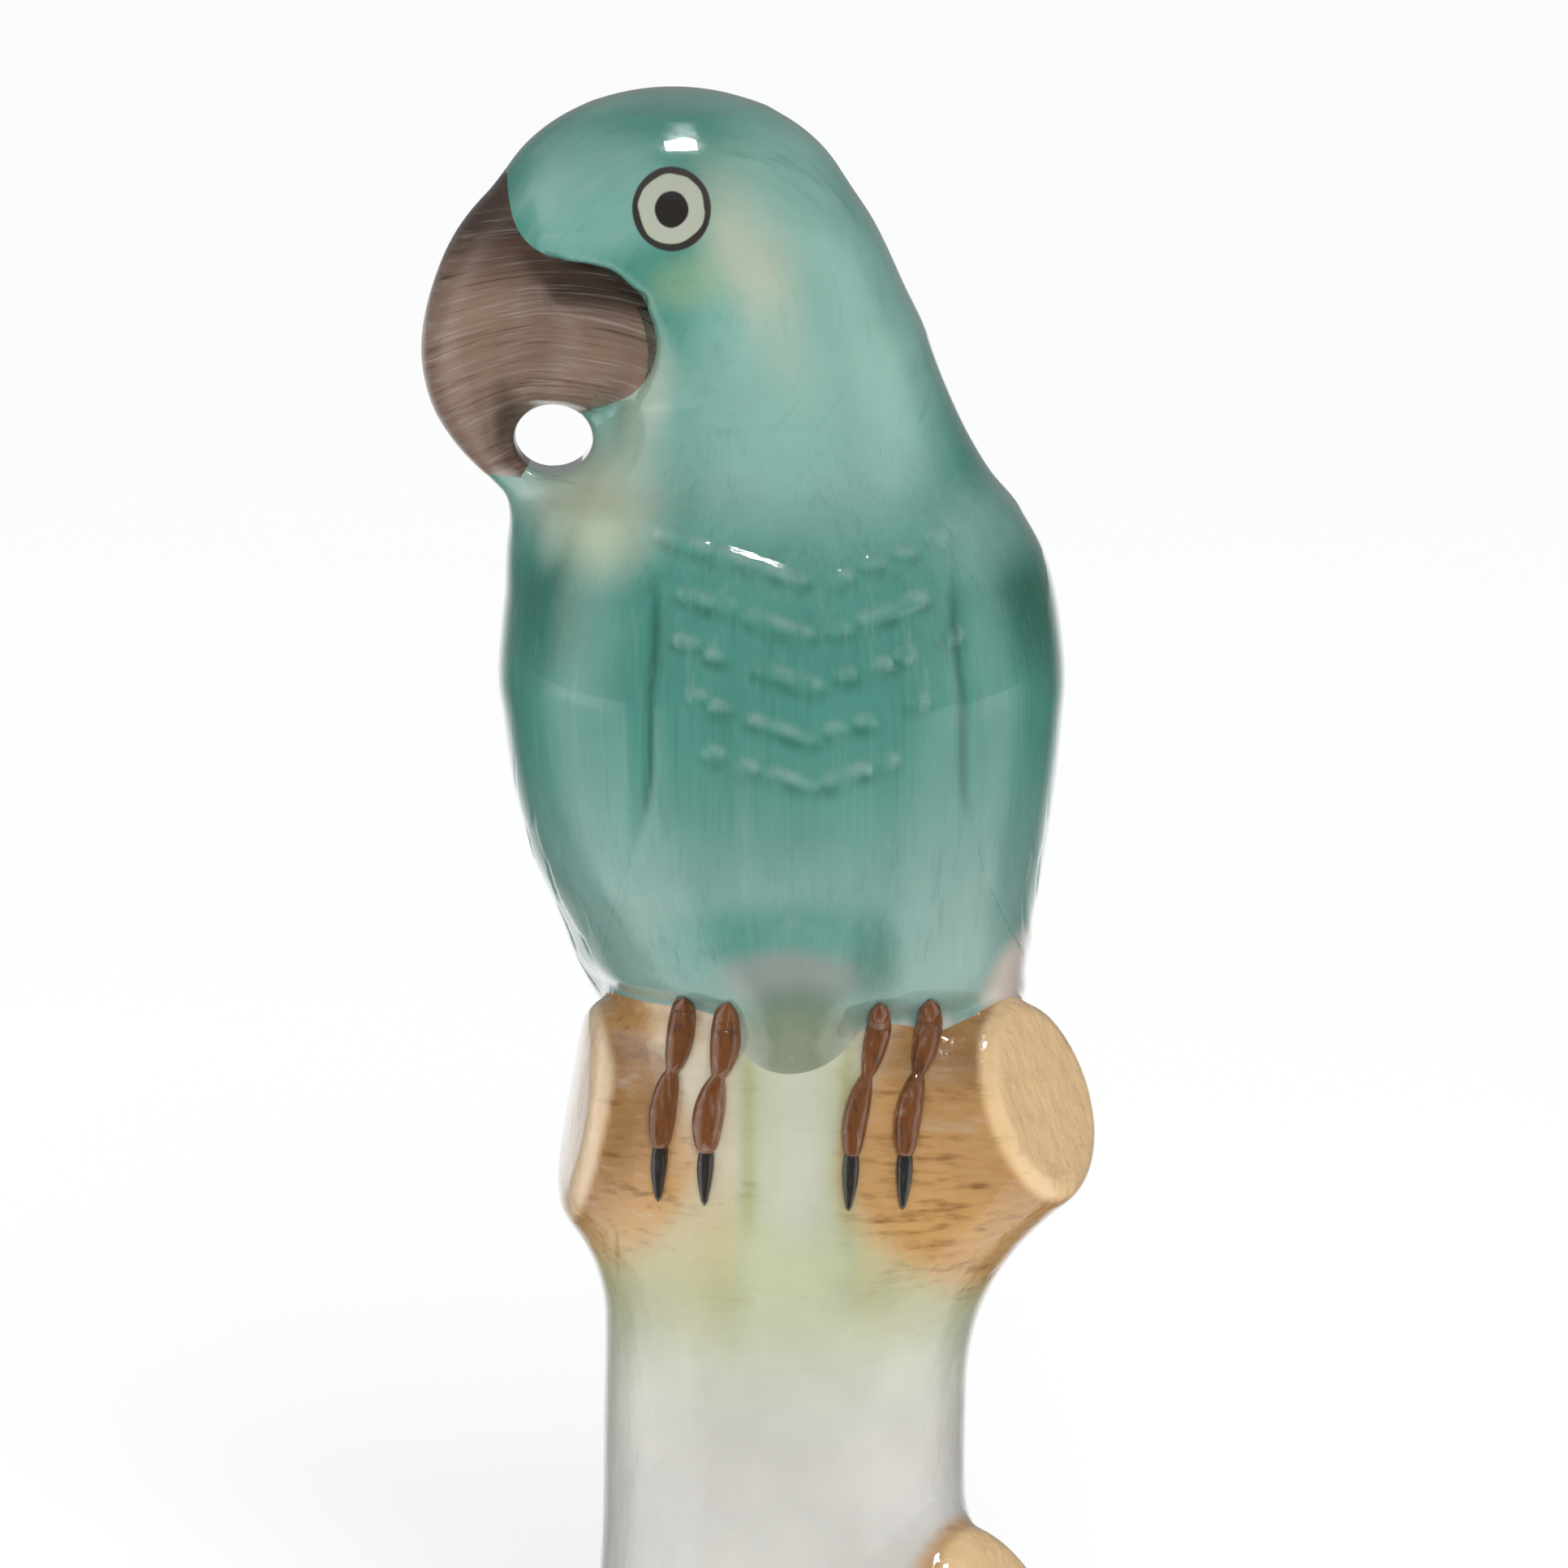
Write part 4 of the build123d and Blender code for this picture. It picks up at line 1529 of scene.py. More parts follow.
@dataclass(frozen=True)
class PaintedGlaze:
    """Paint on white porcelain under a clear gloss glaze, with the brush's strokes and a few kiln specks."""

    name: str
    stroke: Triple = (0.35, 0.35, 9.0)
    pole: Pair | None = None
    gather: Pigment = Pigment.DEEP
    boldness: float = 0.35
    speck_spacing: float = 6.5
    speck_radius: float = 0.085
    roughness: float = 0.16
    glow: float = 0.12
    coat: float = 1.0
    ripple: float = 0.05

    def strokes(self, bench: Bench, place: Socket) -> Socket:
        """How much colour the brush leaves at a place, about 0 to 1.

        With a pole, the strokes run in rings round it in the frontal plane, and the grain's first number is
        across the rings, the second is to the back and the third is along the rings.

        Args:
            bench: Where the nodes are laid out.
            place: The coordinates in millimetres.

        Returns:
            The brush's colour, about 0 to 1.
        """
        if self.pole:
            out = bench.vector("SUBTRACT", place, (self.pole[0], 0, self.pole[1]))
            parts = bench.node("ShaderNodeSeparateXYZ", out).outputs
            radius = bench.math("SQRT", bench.math("ADD", bench.math("POWER", parts[0], 2.0),
                                                   bench.math("POWER", parts[2], 2.0)))
            turn = bench.times(bench.math("ARCTAN2", parts[0], parts[2]), 12.0)
            place = bench.node("ShaderNodeCombineXYZ", radius, parts[1], turn).outputs[0]
        fine = bench.noise(place, self.stroke, 2.0)
        broad = bench.noise(place, tuple(4 * g for g in self.stroke), 1.0, 7.3)
        return bench.math("ADD", bench.times(fine, 0.6), bench.times(broad, 0.4))

    def details(self, bench: Bench, place: Socket, colour: Socket) -> Socket:
        """Sharp painted details over the washes. A plain glaze has none."""
        return colour

    def material(self) -> Material:
        """Builds the material.

        Returns:
            The material.
        """
        made = bpy.data.materials.new(self.name)
        made.use_nodes = True
        made.node_tree.nodes.clear()
        bench = Bench(made.node_tree)
        place = bench.millimetres()
        paint = bench.node("ShaderNodeAttribute", attribute_name="paint")
        wash, brush = paint.outputs["Color"], paint.outputs["Alpha"]
        left = self.strokes(bench, place)
        more, less = (bench.times(bench.fade(0.50, end, left), brush, self.boldness) for end in (0.78, 0.22))
        pale = bench.mix(0.35, wash, rgba(Pigment.WHITE))
        colour = bench.mix(less, bench.mix(more, wash, rgba(self.gather)), pale)
        cloud = bench.noise(place, (7.0, 7.0, 7.0), 3.0, 3.1)
        shade = bench.node("ShaderNodeCombineColor", *(bench.math("MULTIPLY_ADD", cloud, 0.7, 0.65),) * 3)
        colour = bench.mix(0.5, colour, bench.mix(1.0, colour, shade.outputs[0], "MULTIPLY"))
        colour = self.details(bench, place, colour)
        speck = bench.node("ShaderNodeTexVoronoi", place, None, 1 / self.speck_spacing).outputs["Distance"]
        size = self.speck_radius / self.speck_spacing
        colour = bench.mix(bench.times(bench.fade(size * 1.5, size * 0.6, speck), 0.75), colour,
                           (0.03, 0.03, 0.025, 1.0))
        ripple = bench.noise(place, (1.6, 1.6, 2.4), 2.0, 5.7)
        bump = bench.node("ShaderNodeBump", self.ripple, 0.0006, None, ripple)
        shader = bench.node("ShaderNodeBsdfPrincipled")
        for name, value in {
            "Base Color": colour, "Roughness": self.roughness, "IOR": 1.5, "Coat Weight": self.coat,
            "Coat Roughness": 0.23 - 0.2 * self.coat,
            "Coat IOR": 1.5, "Subsurface Weight": self.glow, "Subsurface Radius": (0.0012, 0.001, 0.0008),
            "Subsurface Scale": 1.0, "Specular IOR Level": 0.25,
        }.items():
            bench.feed(shader.inputs[name], value)
        bench.feed(shader.inputs["Normal"], bump.outputs[0])
        bench.node("ShaderNodeOutputMaterial", shader.outputs[0])
        return made


@dataclass(frozen=True)
class FaceGlaze(PaintedGlaze):
    """The head's glaze, with the two eyes."""

    eye: Pair = (0.0, 0.0)
    ring: float = 2.5
    line: float = 0.44
    pupil: float = 1.16

    def details(self, bench: Bench, place: Socket, colour: Socket) -> Socket:
        """The eye on either side of the head: a dark ring, a pale iris and a black pupil.

        Args:
            bench: Where the nodes are laid out.
            place: The coordinates in millimetres.
            colour: The colour so far.

        Returns:
            The colour with the eye.
        """
        wobble = bench.noise(place, (1.5, 40.0, 1.5), 1.0, 2.9)
        off = bench.vector("SUBTRACT", place, (self.eye[0], 0, self.eye[1]))
        off = bench.vector("MULTIPLY", off, (1.04, 0.0, 0.985))
        away = bench.node("ShaderNodeVectorMath", off, operation="LENGTH").outputs["Value"]
        away = bench.math("MULTIPLY_ADD", wobble, 0.22, bench.math("SUBTRACT", away, 0.11))
        soft = 0.07
        within = bench.fade(self.ring + soft, self.ring - soft, away)
        colour = bench.mix(within, colour, rgba(Pigment.IRIS))
        from_line = bench.math("ABSOLUTE", bench.math("SUBTRACT", away, self.ring))
        weight = bench.math("SUBTRACT", self.line / 2 - 0.08, from_line)
        weight = bench.math("MULTIPLY_ADD", wobble, 0.16, weight)
        colour = bench.mix(bench.fade(-soft, soft, weight), colour, rgba(Pigment.NAIL, 1.6))
        fringe = bench.fade(0.22, 0.0, bench.math("ABSOLUTE", bench.math("SUBTRACT", away, self.ring - 0.42)))
        colour = bench.mix(bench.times(fringe, 0.25), colour, rgba(Pigment.LIME))
        return bench.mix(bench.fade(self.pupil + soft, self.pupil - soft, away), colour, rgba(Pigment.NAIL))


# ------------------------------------------------ pieces

def mesh_of(name: str, points: Array, faces: Array, normals: Array | None = None) -> bpy.types.Mesh:
    """A smooth mesh in metres from points in millimetres and triangles.

    Args:
        name: Its name.
        points: Places in millimetres.
        faces: Triangles, as three point numbers each.
        normals: A direction at each corner of each triangle.

    Returns:
        The mesh.
    """
    mesh = bpy.data.meshes.new(name)
    mesh.vertices.add(len(points))
    mesh.vertices.foreach_set("co", (points * MM).astype(np.float32).ravel())
    mesh.loops.add(faces.size)
    mesh.loops.foreach_set("vertex_index", faces.astype(np.int32).ravel())
    mesh.polygons.add(len(faces))
    mesh.polygons.foreach_set("loop_start", np.arange(0, faces.size, 3, dtype=np.int32))
    mesh.polygons.foreach_set("use_smooth", np.ones(len(faces), bool))
    mesh.update(calc_edges=True)
    mesh.validate()
    if normals is not None:
        mesh.normals_split_custom_set(normals.reshape(-1, 3).tolist())
    return mesh


def put(name: str, data: bpy.types.ID) -> Thing:
    """Puts data into the scene as an object at the origin.

    Args:
        name: Its name.
        data: Its mesh, curve, lamp or camera.

    Returns:
        The object.
    """
    thing = bpy.data.objects.new(name, data)
    bpy.context.scene.collection.objects.link(thing)
    return thing


def hang(name: str, mesh: bpy.types.Mesh, paint: Array, node: str, slot: str) -> Thing:
    """Paints a mesh and hangs it on the frame in its node's place.

    Args:
        name: The piece's name.
        mesh: Its mesh.
        paint: Red, green, blue and brush boldness of every point.
        node: The node that it stands for.
        slot: Not used.

    Returns:
        The piece.
    """
    values = paint.astype(np.float32)
    mesh.attributes.new("paint", "FLOAT_COLOR", "POINT").data.foreach_set("color", values.ravel())
    piece = put(name, mesh)
    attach(piece, BODY)
    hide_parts(node)
    LOG.info("%s: %d faces", piece.name, len(mesh.polygons))
    return piece


@dataclass
class Casting:
    """One casting of the figure: the node that it stands for, its part of the skin and its paint."""

    node: str
    slot: str
    skin: Skin
    paint: Callable[[Array, Array], Array]
    material: Material

    def build(self) -> Thing:
        """Makes the casting's mesh, paints it and hangs it on the frame.

        Returns:
            The piece.
        """
        skin = self.skin
        mesh = mesh_of(self.node, skin.points, skin.faces, skin.normals)
        mesh.materials.append(self.material)
        return hang(f"{self.node}_casting", mesh, self.paint(skin.points, skin.outward()), self.node, self.slot)


# ------------------------------------------------ Geometry Nodes: plumage relief, toes and claws

class Recipe:
    """A Geometry Nodes tree with named inputs, run on an object to give a plain mesh."""

    def __init__(self, name: str, inputs: dict[str, float]) -> None:
        """Starts a tree.

        Args:
            name: The tree's name.
            inputs: Its named numbers and their values.
        """
        self.tree = bpy.data.node_groups.new(name, "GeometryNodeTree")
        self.tree.interface.new_socket("Geometry", in_out="INPUT", socket_type="NodeSocketGeometry")
        for label in inputs:
            self.tree.interface.new_socket(label, in_out="INPUT", socket_type="NodeSocketFloat")
        self.tree.interface.new_socket("Geometry", in_out="OUTPUT", socket_type="NodeSocketGeometry")
        self.inputs = inputs
        self.bench = Bench(self.tree)
        self.start = self.tree.nodes.new("NodeGroupInput").outputs
        self.end = self.tree.nodes.new("NodeGroupOutput")

    def reading(self, name: str) -> Socket:
        """A named number at each point of the mesh."""
        return self.bench.node("GeometryNodeInputNamedAttribute", name, data_type="FLOAT").outputs["Attribute"]

    def finish(self, shape: Socket, material: Material) -> None:
        """Ends the tree with real geometry in its material.

        Args:
            shape: What the tree has made so far.
            material: What it is dressed in.
        """
        real = self.bench.node("GeometryNodeRealizeInstances", shape).outputs[0]
        dressed = self.bench.node("GeometryNodeSetMaterial", real)
        dressed.inputs["Material"].default_value = material
        self.bench.feed(self.end.inputs[0], dressed.outputs[0])

    def run(self, thing: Thing) -> bpy.types.Mesh:
        """Runs the tree on an object.

        Args:
            thing: The object, which keeps no modifier afterwards.

        Returns:
            The result as a plain mesh.
        """
        modifier = thing.modifiers.new(self.tree.name, "NODES")
        modifier.node_group = self.tree
        for socket in self.tree.interface.items_tree:
            if socket.in_out == "INPUT" and socket.name in self.inputs:
                modifier[socket.identifier] = float(self.inputs[socket.name])
        shape = thing.evaluated_get(bpy.context.evaluated_depsgraph_get())
        made = bpy.data.meshes.new_from_object(shape)
        thing.modifiers.remove(modifier)
        return made


@dataclass
class PlumageRelief:
    """Feathers raised on the clay: scales that grow into quills on wings and tail, and pads on the breast."""

    forms: ParrotForms
    scale_rise: float = 0.13
    pad_rise: float = 0.17
    pad_radius: float = 0.62
    bow: float = 0.55
    first_length: float = 13.0
    rows: float = 6.5
    feather_width: float = 3.6

    def pads(self) -> Thing:
        """The breast pads' middle lines as loose edges.

        Returns:
            The object that holds them.
        """
        points = [(x * MM, -self.depth(x, z) * MM, z * MM)
                  for line in self.forms.breast.lines() for x, z in line]
        mesh = bpy.data.meshes.new("breast_pads")
        mesh.from_pydata(points, [(i, i + 1) for i in range(0, len(points), 2)], [])
        return put("breast_pads", mesh)

    def depth(self, x: float, z: float) -> float:
        """How far in front of the middle plane the breast is at a place.

        Args:
            x, z: The place, seen from the front.

        Returns:
            The depth in millimetres.
        """
        ways = np.linspace(0.0, 25.0, 251)
        inside = self.forms.body(np.full(251, x), -ways, np.full(251, z)) < 0
        return float(ways[np.flatnonzero(inside)[-1]])

    def tree(self, pads: Thing, material: Material) -> Recipe:
        """The tree that raises the feathers.

        Args:
            pads: The pads' middle lines.
            material: What it is dressed in.

        Returns:
            The tree.
        """
        recipe = Recipe("plumage_relief", {
            "Scale rise": self.scale_rise * MM, "Pad rise": self.pad_rise * MM,
            "Pad radius": self.pad_radius * MM, "Bow": self.bow, "First length": self.first_length,
            "Rows": self.rows, "Width": self.feather_width,
        })
        bench, start = recipe.bench, recipe.start
        along = bench.math("MAXIMUM", recipe.reading("feather_along"), 0.0)
        lengths = bench.math("ADD", bench.math("DIVIDE", along, start["First length"]), 1.0)
        place = bench.times(bench.math("LOGARITHM", lengths, math.e), start["Rows"])
        across = bench.math("DIVIDE", recipe.reading("feather_across"), start["Width"])
        height: Socket | None = None
        for shift in (0.0, 0.5):
            column = bench.math("FRACT", bench.math("ADD", across, shift))
            off = bench.math("ABSOLUTE", bench.math("SUBTRACT", column, 0.5))
            bow = bench.times(bench.math("POWER", bench.times(off, 2.0), 2.0), start["Bow"])
            row = bench.math("ADD", bench.math("ADD", place, bow), shift * 2)
            part = bench.math("FRACT", bench.times(row, 0.5))
            rise = bench.times(bench.fade(0.0, 0.9, part), bench.fade(1.0, 0.9, part))
            crown = bench.times(rise, bench.fade(0.5, 0.38, off))
            height = crown if height is None else bench.math("MAXIMUM", height, crown)
        scales = bench.times(height, recipe.reading("feather_shows"), start["Scale rise"])
        source = bench.node("GeometryNodeObjectInfo")
        source.inputs["Object"].default_value = pads
        near = bench.node("GeometryNodeProximity", target_element="EDGES")
        bench.feed(near.inputs[0], source.outputs["Geometry"])
        share = bench.math("DIVIDE", near.outputs["Distance"], start["Pad radius"])
        dome = bench.fade(1.25, 0.25, share)
        padded = bench.times(dome, start["Pad rise"])
        lift = bench.vector("MULTIPLY", bench.node("GeometryNodeInputNormal").outputs[0], bench.node(
            "ShaderNodeCombineXYZ", *(bench.math("ADD", scales, padded),) * 3).outputs[0])
        moved = bench.node("GeometryNodeSetPosition", start["Geometry"])
        bench.feed(moved.inputs["Offset"], lift)
        recipe.finish(moved.outputs[0], material)
        return recipe

    def press(self, points: Array, faces: Array) -> Array:
        """Raises the feathers on the clay's skin.

        Args:
            points: The skin's points in millimetres.
            faces: Its triangles.

        Returns:
            The points with the relief.
        """
        x, y, z = points.T
        along, across, shows = self.forms.wings.feather(x, y, z)
        tail = self.forms.tail.box
        on_tail = (y > tail.low[1] + 1.0) & (z < self.forms.foot - 4.5)
        along = np.where(on_tail, tail.high[2] + 12 - z, along)
        across = np.where(on_tail, x, across)
        tail_shows = fade(tail.low[1] + 1.0, tail.low[1] + 3.5, y) * fade(tail.low[2], tail.low[2] + 4, z)
        shows = np.where(on_tail, tail_shows, shows)
        skin = put("pressed_skin", mesh_of("pressed_skin", points, faces))
        readings = {"feather_along": along, "feather_across": across, "feather_shows": shows}
        for name, values in readings.items():
            reading = skin.data.attributes.new(name, "FLOAT", "POINT")
            reading.data.foreach_set("value", values.astype(np.float32))
        pads = self.pads()
        clay = bpy.data.materials.new("clay")
        made = self.tree(pads, clay).run(skin)
        pressed = np.empty(len(made.vertices) * 3, np.float32)
        made.vertices.foreach_get("co", pressed)
        for thing in (skin, pads):
            bpy.data.objects.remove(thing)
        for data in (made, clay):
            bpy.data.batch_remove([data])
        return pressed.reshape(-1, 3).astype(float) / MM


@dataclass
class Digit:
    """One toe with its claw, laid on the perch from the belly's edge down."""

    side: str
    top_x: float
    end_x: float
    width: float
    sway: float = 0.25


@dataclass
class Foot:
    """Toes and claws: beaded pads and curved nails, swept along lines that lie on the perch."""

    forms: ParrotForms
    surface: BVHTree
    toe_material: Material
    claw_material: Material
    top: float = 10.2
    end: float = -0.6
    claw_end: float = -3.9
    claw_overlap: float = 0.8
    claw_half_width: float = 0.7
    steps: int = 12

    def on_perch(self, x: float, z: float, lift: float) -> Vector:
        """The place on the perch's front at a height, lifted off it, in metres."""
        place, normal, _, _ = self.surface.ray_cast(Vector((x * MM, -0.1, z * MM)), Vector((0, 1, 0)))
        return place + normal * lift * MM

    def line(self, name: str, places: list[Vector]) -> Thing:
        """A smooth line through places, for a tree to sweep along.

        Args:
            name: Its name.
            places: Where it runs, in metres.

        Returns:
            The line.
        """
        curve = bpy.data.curves.new(name, "CURVE")
        curve.dimensions = "3D"
        spline = curve.splines.new("POLY")
        spline.points.add(len(places) - 1)
        for point, place in zip(spline.points, places):
            point.co = (*place, 1.0)
        return put(name, curve)

    def sweep(self, name: str, inputs: dict[str, float], material: Material) -> Recipe:
        """The tree that sweeps a beaded or tapered tube along a line.

        Args:
            name: The tree's name.
            inputs: Its named numbers: Beads, Half width, Waist and Taper.
            material: What it is dressed in.

        Returns:
            The tree.
        """
        recipe = Recipe(name, inputs)
        bench, start = recipe.bench, recipe.start
        fine = bench.node("GeometryNodeResampleCurve", start["Geometry"])
        fine.inputs["Count"].default_value = 56
        along = bench.node("GeometryNodeSplineParameter").outputs["Factor"]
        turn = bench.times(along, start["Beads"], math.pi)
        bead = bench.math("POWER", bench.math("ABSOLUTE", bench.math("SINE", turn)), 0.62)
        over_waist = bench.times(bead, bench.math("SUBTRACT", 1.0, start["Waist"]))
        swell = bench.math("ADD", start["Waist"], over_waist)
        closed = bench.times(bench.fade(-0.02, 0.09, along), bench.fade(1.02, 0.93, along))
        ends = bench.math("POWER", closed, 0.5)
        thin = bench.math("SUBTRACT", 1.0, bench.times(start["Taper"], bench.math("POWER", along, 1.4)))
        radius = bench.times(swell, ends, thin, start["Half width"])
        ring = bench.node("GeometryNodeCurvePrimitiveCircle")
        ring.inputs["Resolution"].default_value = 28
        ring.inputs["Radius"].default_value = 1.0
        tube = bench.node("GeometryNodeCurveToMesh", fine.outputs[0], ring.outputs[0])
        tube.inputs["Fill Caps"].default_value = True
        bench.feed(tube.inputs["Scale"], radius)
        smooth = bench.node("GeometryNodeSetShadeSmooth", tube.outputs[0])
        recipe.finish(smooth.outputs[0], material)
        return recipe

    def piece(self, node: str, slot: str, line: Thing, recipe: Recipe, brush: float) -> Thing:
        """Turns a line into a piece that stands for a node.

        Args:
            node: The node that it stands for.
            slot: The finish's slot.
            line: The line to sweep along.
            recipe: The tree that sweeps.
            brush: How boldly the brush shows.

        Returns:
            The piece.
        """
        mesh = recipe.run(line)
        bpy.data.objects.remove(line)
        mesh.name = node
        pigment = Pigment.CHESTNUT if slot == "toe_glaze" else Pigment.NAIL
        return hang(f"{node}_bead", mesh, np.tile((*pigment.value, brush), (len(mesh.vertices), 1)), node, slot)

    def build(self, digit: Digit) -> None:
        """Lays one toe and its claw.

        Args:
            digit: The toe's place and size.
        """
        top, end = self.forms.perch + self.top, self.forms.perch + self.end
        slant, claw_drop = digit.end_x - digit.top_x, self.claw_end - self.end - self.claw_overlap
        toe, claw = [], []
        for i in range(self.steps + 1):
            t = i / self.steps
            x = digit.top_x + slant * t + digit.sway * math.sin(2 * math.pi * t)
            toe.append(self.on_perch(x, top + (end - top) * t, 0.25))
            z = end + self.claw_overlap + claw_drop * t
            claw.append(self.on_perch(digit.end_x + slant * 0.12 * t, z, 0.12 + 0.15 * math.sin(math.pi * t)))
        toe_shape = {"Beads": 2.0, "Half width": digit.width * MM, "Waist": 0.36, "Taper": 0.0}
        claw_shape = {"Beads": 1.0, "Half width": self.claw_half_width * MM, "Waist": 0.5, "Taper": 0.6}
        toes = self.sweep(f"{digit.side}_toe_sweep", toe_shape, self.toe_material)
        claws = self.sweep(f"{digit.side}_claw_sweep", claw_shape, self.claw_material)
        self.piece(f"{digit.side}_toe", "toe_glaze", self.line("toe_line", toe), toes, 1.0)
        self.piece(f"{digit.side}_claw", "claw_glaze", self.line("claw_line", claw), claws, 0.5)


# ------------------------------------------------ studio

@dataclass
class Studio:
    """Pale floor, soft lights and the camera."""

    aim: Triple
    distance: float = 0.7
    elevation: float = 8.0
    view_width: float = 0.10626
    sensor: float = 36.0

    def around(self, azimuth: float, elevation: float, distance: float) -> Vector:
        """A place seen from the aim, with azimuth 0 in front and positive to the right.

        Args:
            azimuth, elevation, distance: Where it stands, seen from the aim.

        Returns:
            The place in metres.
        """
        a, e = math.radians(azimuth), math.radians(elevation)
        away = Vector((math.sin(a) * math.cos(e), -math.cos(a) * math.cos(e), math.sin(e)))
        return Vector(self.aim) + away * distance

    def towards_aim(self, place: Vector) -> Euler:
        """The turn of a camera or lamp at a place that looks at the aim."""
        return (Vector(self.aim) - place).to_track_quat("-Z", "Y").to_euler()

    def camera(self) -> None:
        """Sets the camera in front and a little above."""
        data = bpy.data.cameras.new("camera")
        data.sensor_width = self.sensor
        data.lens = self.sensor * self.distance / self.view_width
        data.clip_start, data.clip_end = 0.01, 100.0
        camera = put("camera", data)
        camera.location = self.around(0.0, self.elevation, self.distance)
        camera.rotation_euler = self.towards_aim(camera.location)
        bpy.context.scene.camera = camera

    def panel(self, name: str, azimuth: float, elevation: float, distance: float, size: Pair,
              power: float, soft: float = 0.0) -> None:
        """A rectangular light that faces the aim.

        Args:
            name: The light's name.
            azimuth, elevation, distance: Where it stands, seen from the aim.
            size: Its width and height in metres.
            power: Its power in watts.
            soft: Share of each side over which it fades out. A light that doesn't fade gives only highlights.
        """
        data = bpy.data.lights.new(name, "AREA")
        data.shape, data.size, data.size_y, data.energy = "RECTANGLE", *size, power
        if soft:
            data.use_nodes = True
            bench = Bench(data.node_tree)
            on_panel = bench.node("ShaderNodeNewGeometry").outputs["Parametric"]
            across = bench.node("ShaderNodeSeparateXYZ", on_panel)
            strength: Socket | float = 1.0
            for way in across.outputs[:2]:
                from_middle = bench.math("ABSOLUTE", bench.math("SUBTRACT", way, 0.5))
                from_edge = bench.math("SUBTRACT", 0.5, from_middle)
                strength = bench.times(strength, bench.fade(0.0, soft, from_edge))
            bench.feed(data.node_tree.nodes["Emission"].inputs["Strength"], strength)
        light = put(name, data)
        light.location = self.around(azimuth, elevation, distance)
        light.rotation_euler = self.towards_aim(light.location)
        light.visible_diffuse = soft > 0

    def sky(self, azimuth: float, elevation: float, spread: float, strength: float) -> None:
        """A broad even light from far away, which gives the floor its soft shadow.

        Args:
            azimuth, elevation: Where it stands, seen from the aim.
            spread: How wide it is, in degrees.
            strength: How bright it is.
        """
        data = bpy.data.lights.new("sky", "SUN")
        data.angle, data.energy = math.radians(spread), strength
        light = put("sky", data)
        light.rotation_euler = self.towards_aim(self.around(azimuth, elevation, 1.0))
        light.visible_glossy = False

    def room(self, strength: float) -> None:
        """Even light from all round.

        Args:
            strength: How bright it is.
        """
        world = bpy.data.worlds.new("room")
        world.use_nodes = True
        background = world.node_tree.nodes["Background"]
        background.inputs["Color"].default_value = (0.97, 0.985, 1.0, 1.0)
        background.inputs["Strength"].default_value = strength
        bpy.context.scene.world = world

    def floor(self, half: float = 8.0) -> None:
        """A plain pale sheet under the figure.

        Args:
            half: Half of its side in metres.
        """
        mesh = bpy.data.meshes.new("floor")
        corners = [(-half, -half, 0), (half, -half, 0), (half, half, 0), (-half, half, 0)]
        mesh.from_pydata(corners, [], [(0, 1, 2, 3)])
        made = bpy.data.materials.new("pale_sheet")
        made.use_nodes = True
        bench = Bench(made.node_tree)
        shader = made.node_tree.nodes["Principled BSDF"]
        cloud = bench.noise(bench.millimetres(), (90.0, 90.0, 90.0), 2.0)
        pale = bench.mix(bench.times(cloud, 0.3), (0.90, 0.90, 0.90, 1), (0.86, 0.865, 0.87, 1))
        bench.feed(shader.inputs["Base Color"], pale)
        shader.inputs["Roughness"].default_value = 0.9
        shader.inputs["Specular IOR Level"].default_value = 0.1
        shader.inputs["Emission Color"].default_value = (1.0, 1.0, 1.0, 1.0)
        shader.inputs["Emission Strength"].default_value = 0.57
        mesh.materials.append(made)
        put("floor", mesh)

    def flag(self, front: float = 38.0, back: float = 116.0, soft: float = 24.0, height: float = 0.7) -> None:
        """A dark cloth that only the glaze mirrors, so that breast and outline keep their colour.

        It lies on the floor all round the figure and stands up further out, and is open at both sides.

        Args:
            front: How far round from the front it reaches, in degrees.
            back: Where it starts again towards the back.
            soft: Over how many degrees it fades out.
            height: How high it stands.
        """
        outward = [(0.045, 0.002), (0.12, 0.002), (0.3, 0.002), (0.75, 0.004),
                   (0.75, height / 3), (0.75, height)]
        turns = np.radians(np.linspace(-180, 180, 97))
        points = [(r * math.sin(a), -r * math.cos(a), z) for a in turns for r, z in outward]
        count = len(outward)
        faces = [(i * count + j, i * count + j + 1, (i + 1) * count + j + 1, (i + 1) * count + j)
                 for i in range(len(turns) - 1) for j in range(count - 1)]
        mesh = bpy.data.meshes.new("dark_cloth")
        mesh.from_pydata(points, [], faces)
        made = bpy.data.materials.new("dark_cloth")
        made.use_nodes = True
        made.node_tree.nodes.clear()
        bench = Bench(made.node_tree)
        parts = bench.node("ShaderNodeSeparateXYZ", bench.millimetres()).outputs
        turn = bench.math("ABSOLUTE", bench.math("ARCTAN2", parts[0], bench.times(parts[1], -1.0)))
        cover = bench.math("ADD", bench.fade(math.radians(front + soft), math.radians(front), turn),
                           bench.fade(math.radians(back - soft), math.radians(back), turn))
        cover = bench.times(cover, bench.fade(math.radians(164), math.radians(136), turn),
                            bench.fade(height / MM, height * 0.55 / MM, parts[2]))
        cloth = bench.node("ShaderNodeBsdfDiffuse", (0.08, 0.085, 0.09, 1.0))
        clear = bench.node("ShaderNodeBsdfTransparent")
        both = bench.node("ShaderNodeMixShader", cover, clear.outputs[0], cloth.outputs[0])
        bench.node("ShaderNodeOutputMaterial", both.outputs[0])
        mesh.materials.append(made)
        cloth_sheet = put("dark_cloth", mesh)
        cloth_sheet.visible_camera = cloth_sheet.visible_diffuse = cloth_sheet.visible_shadow = False

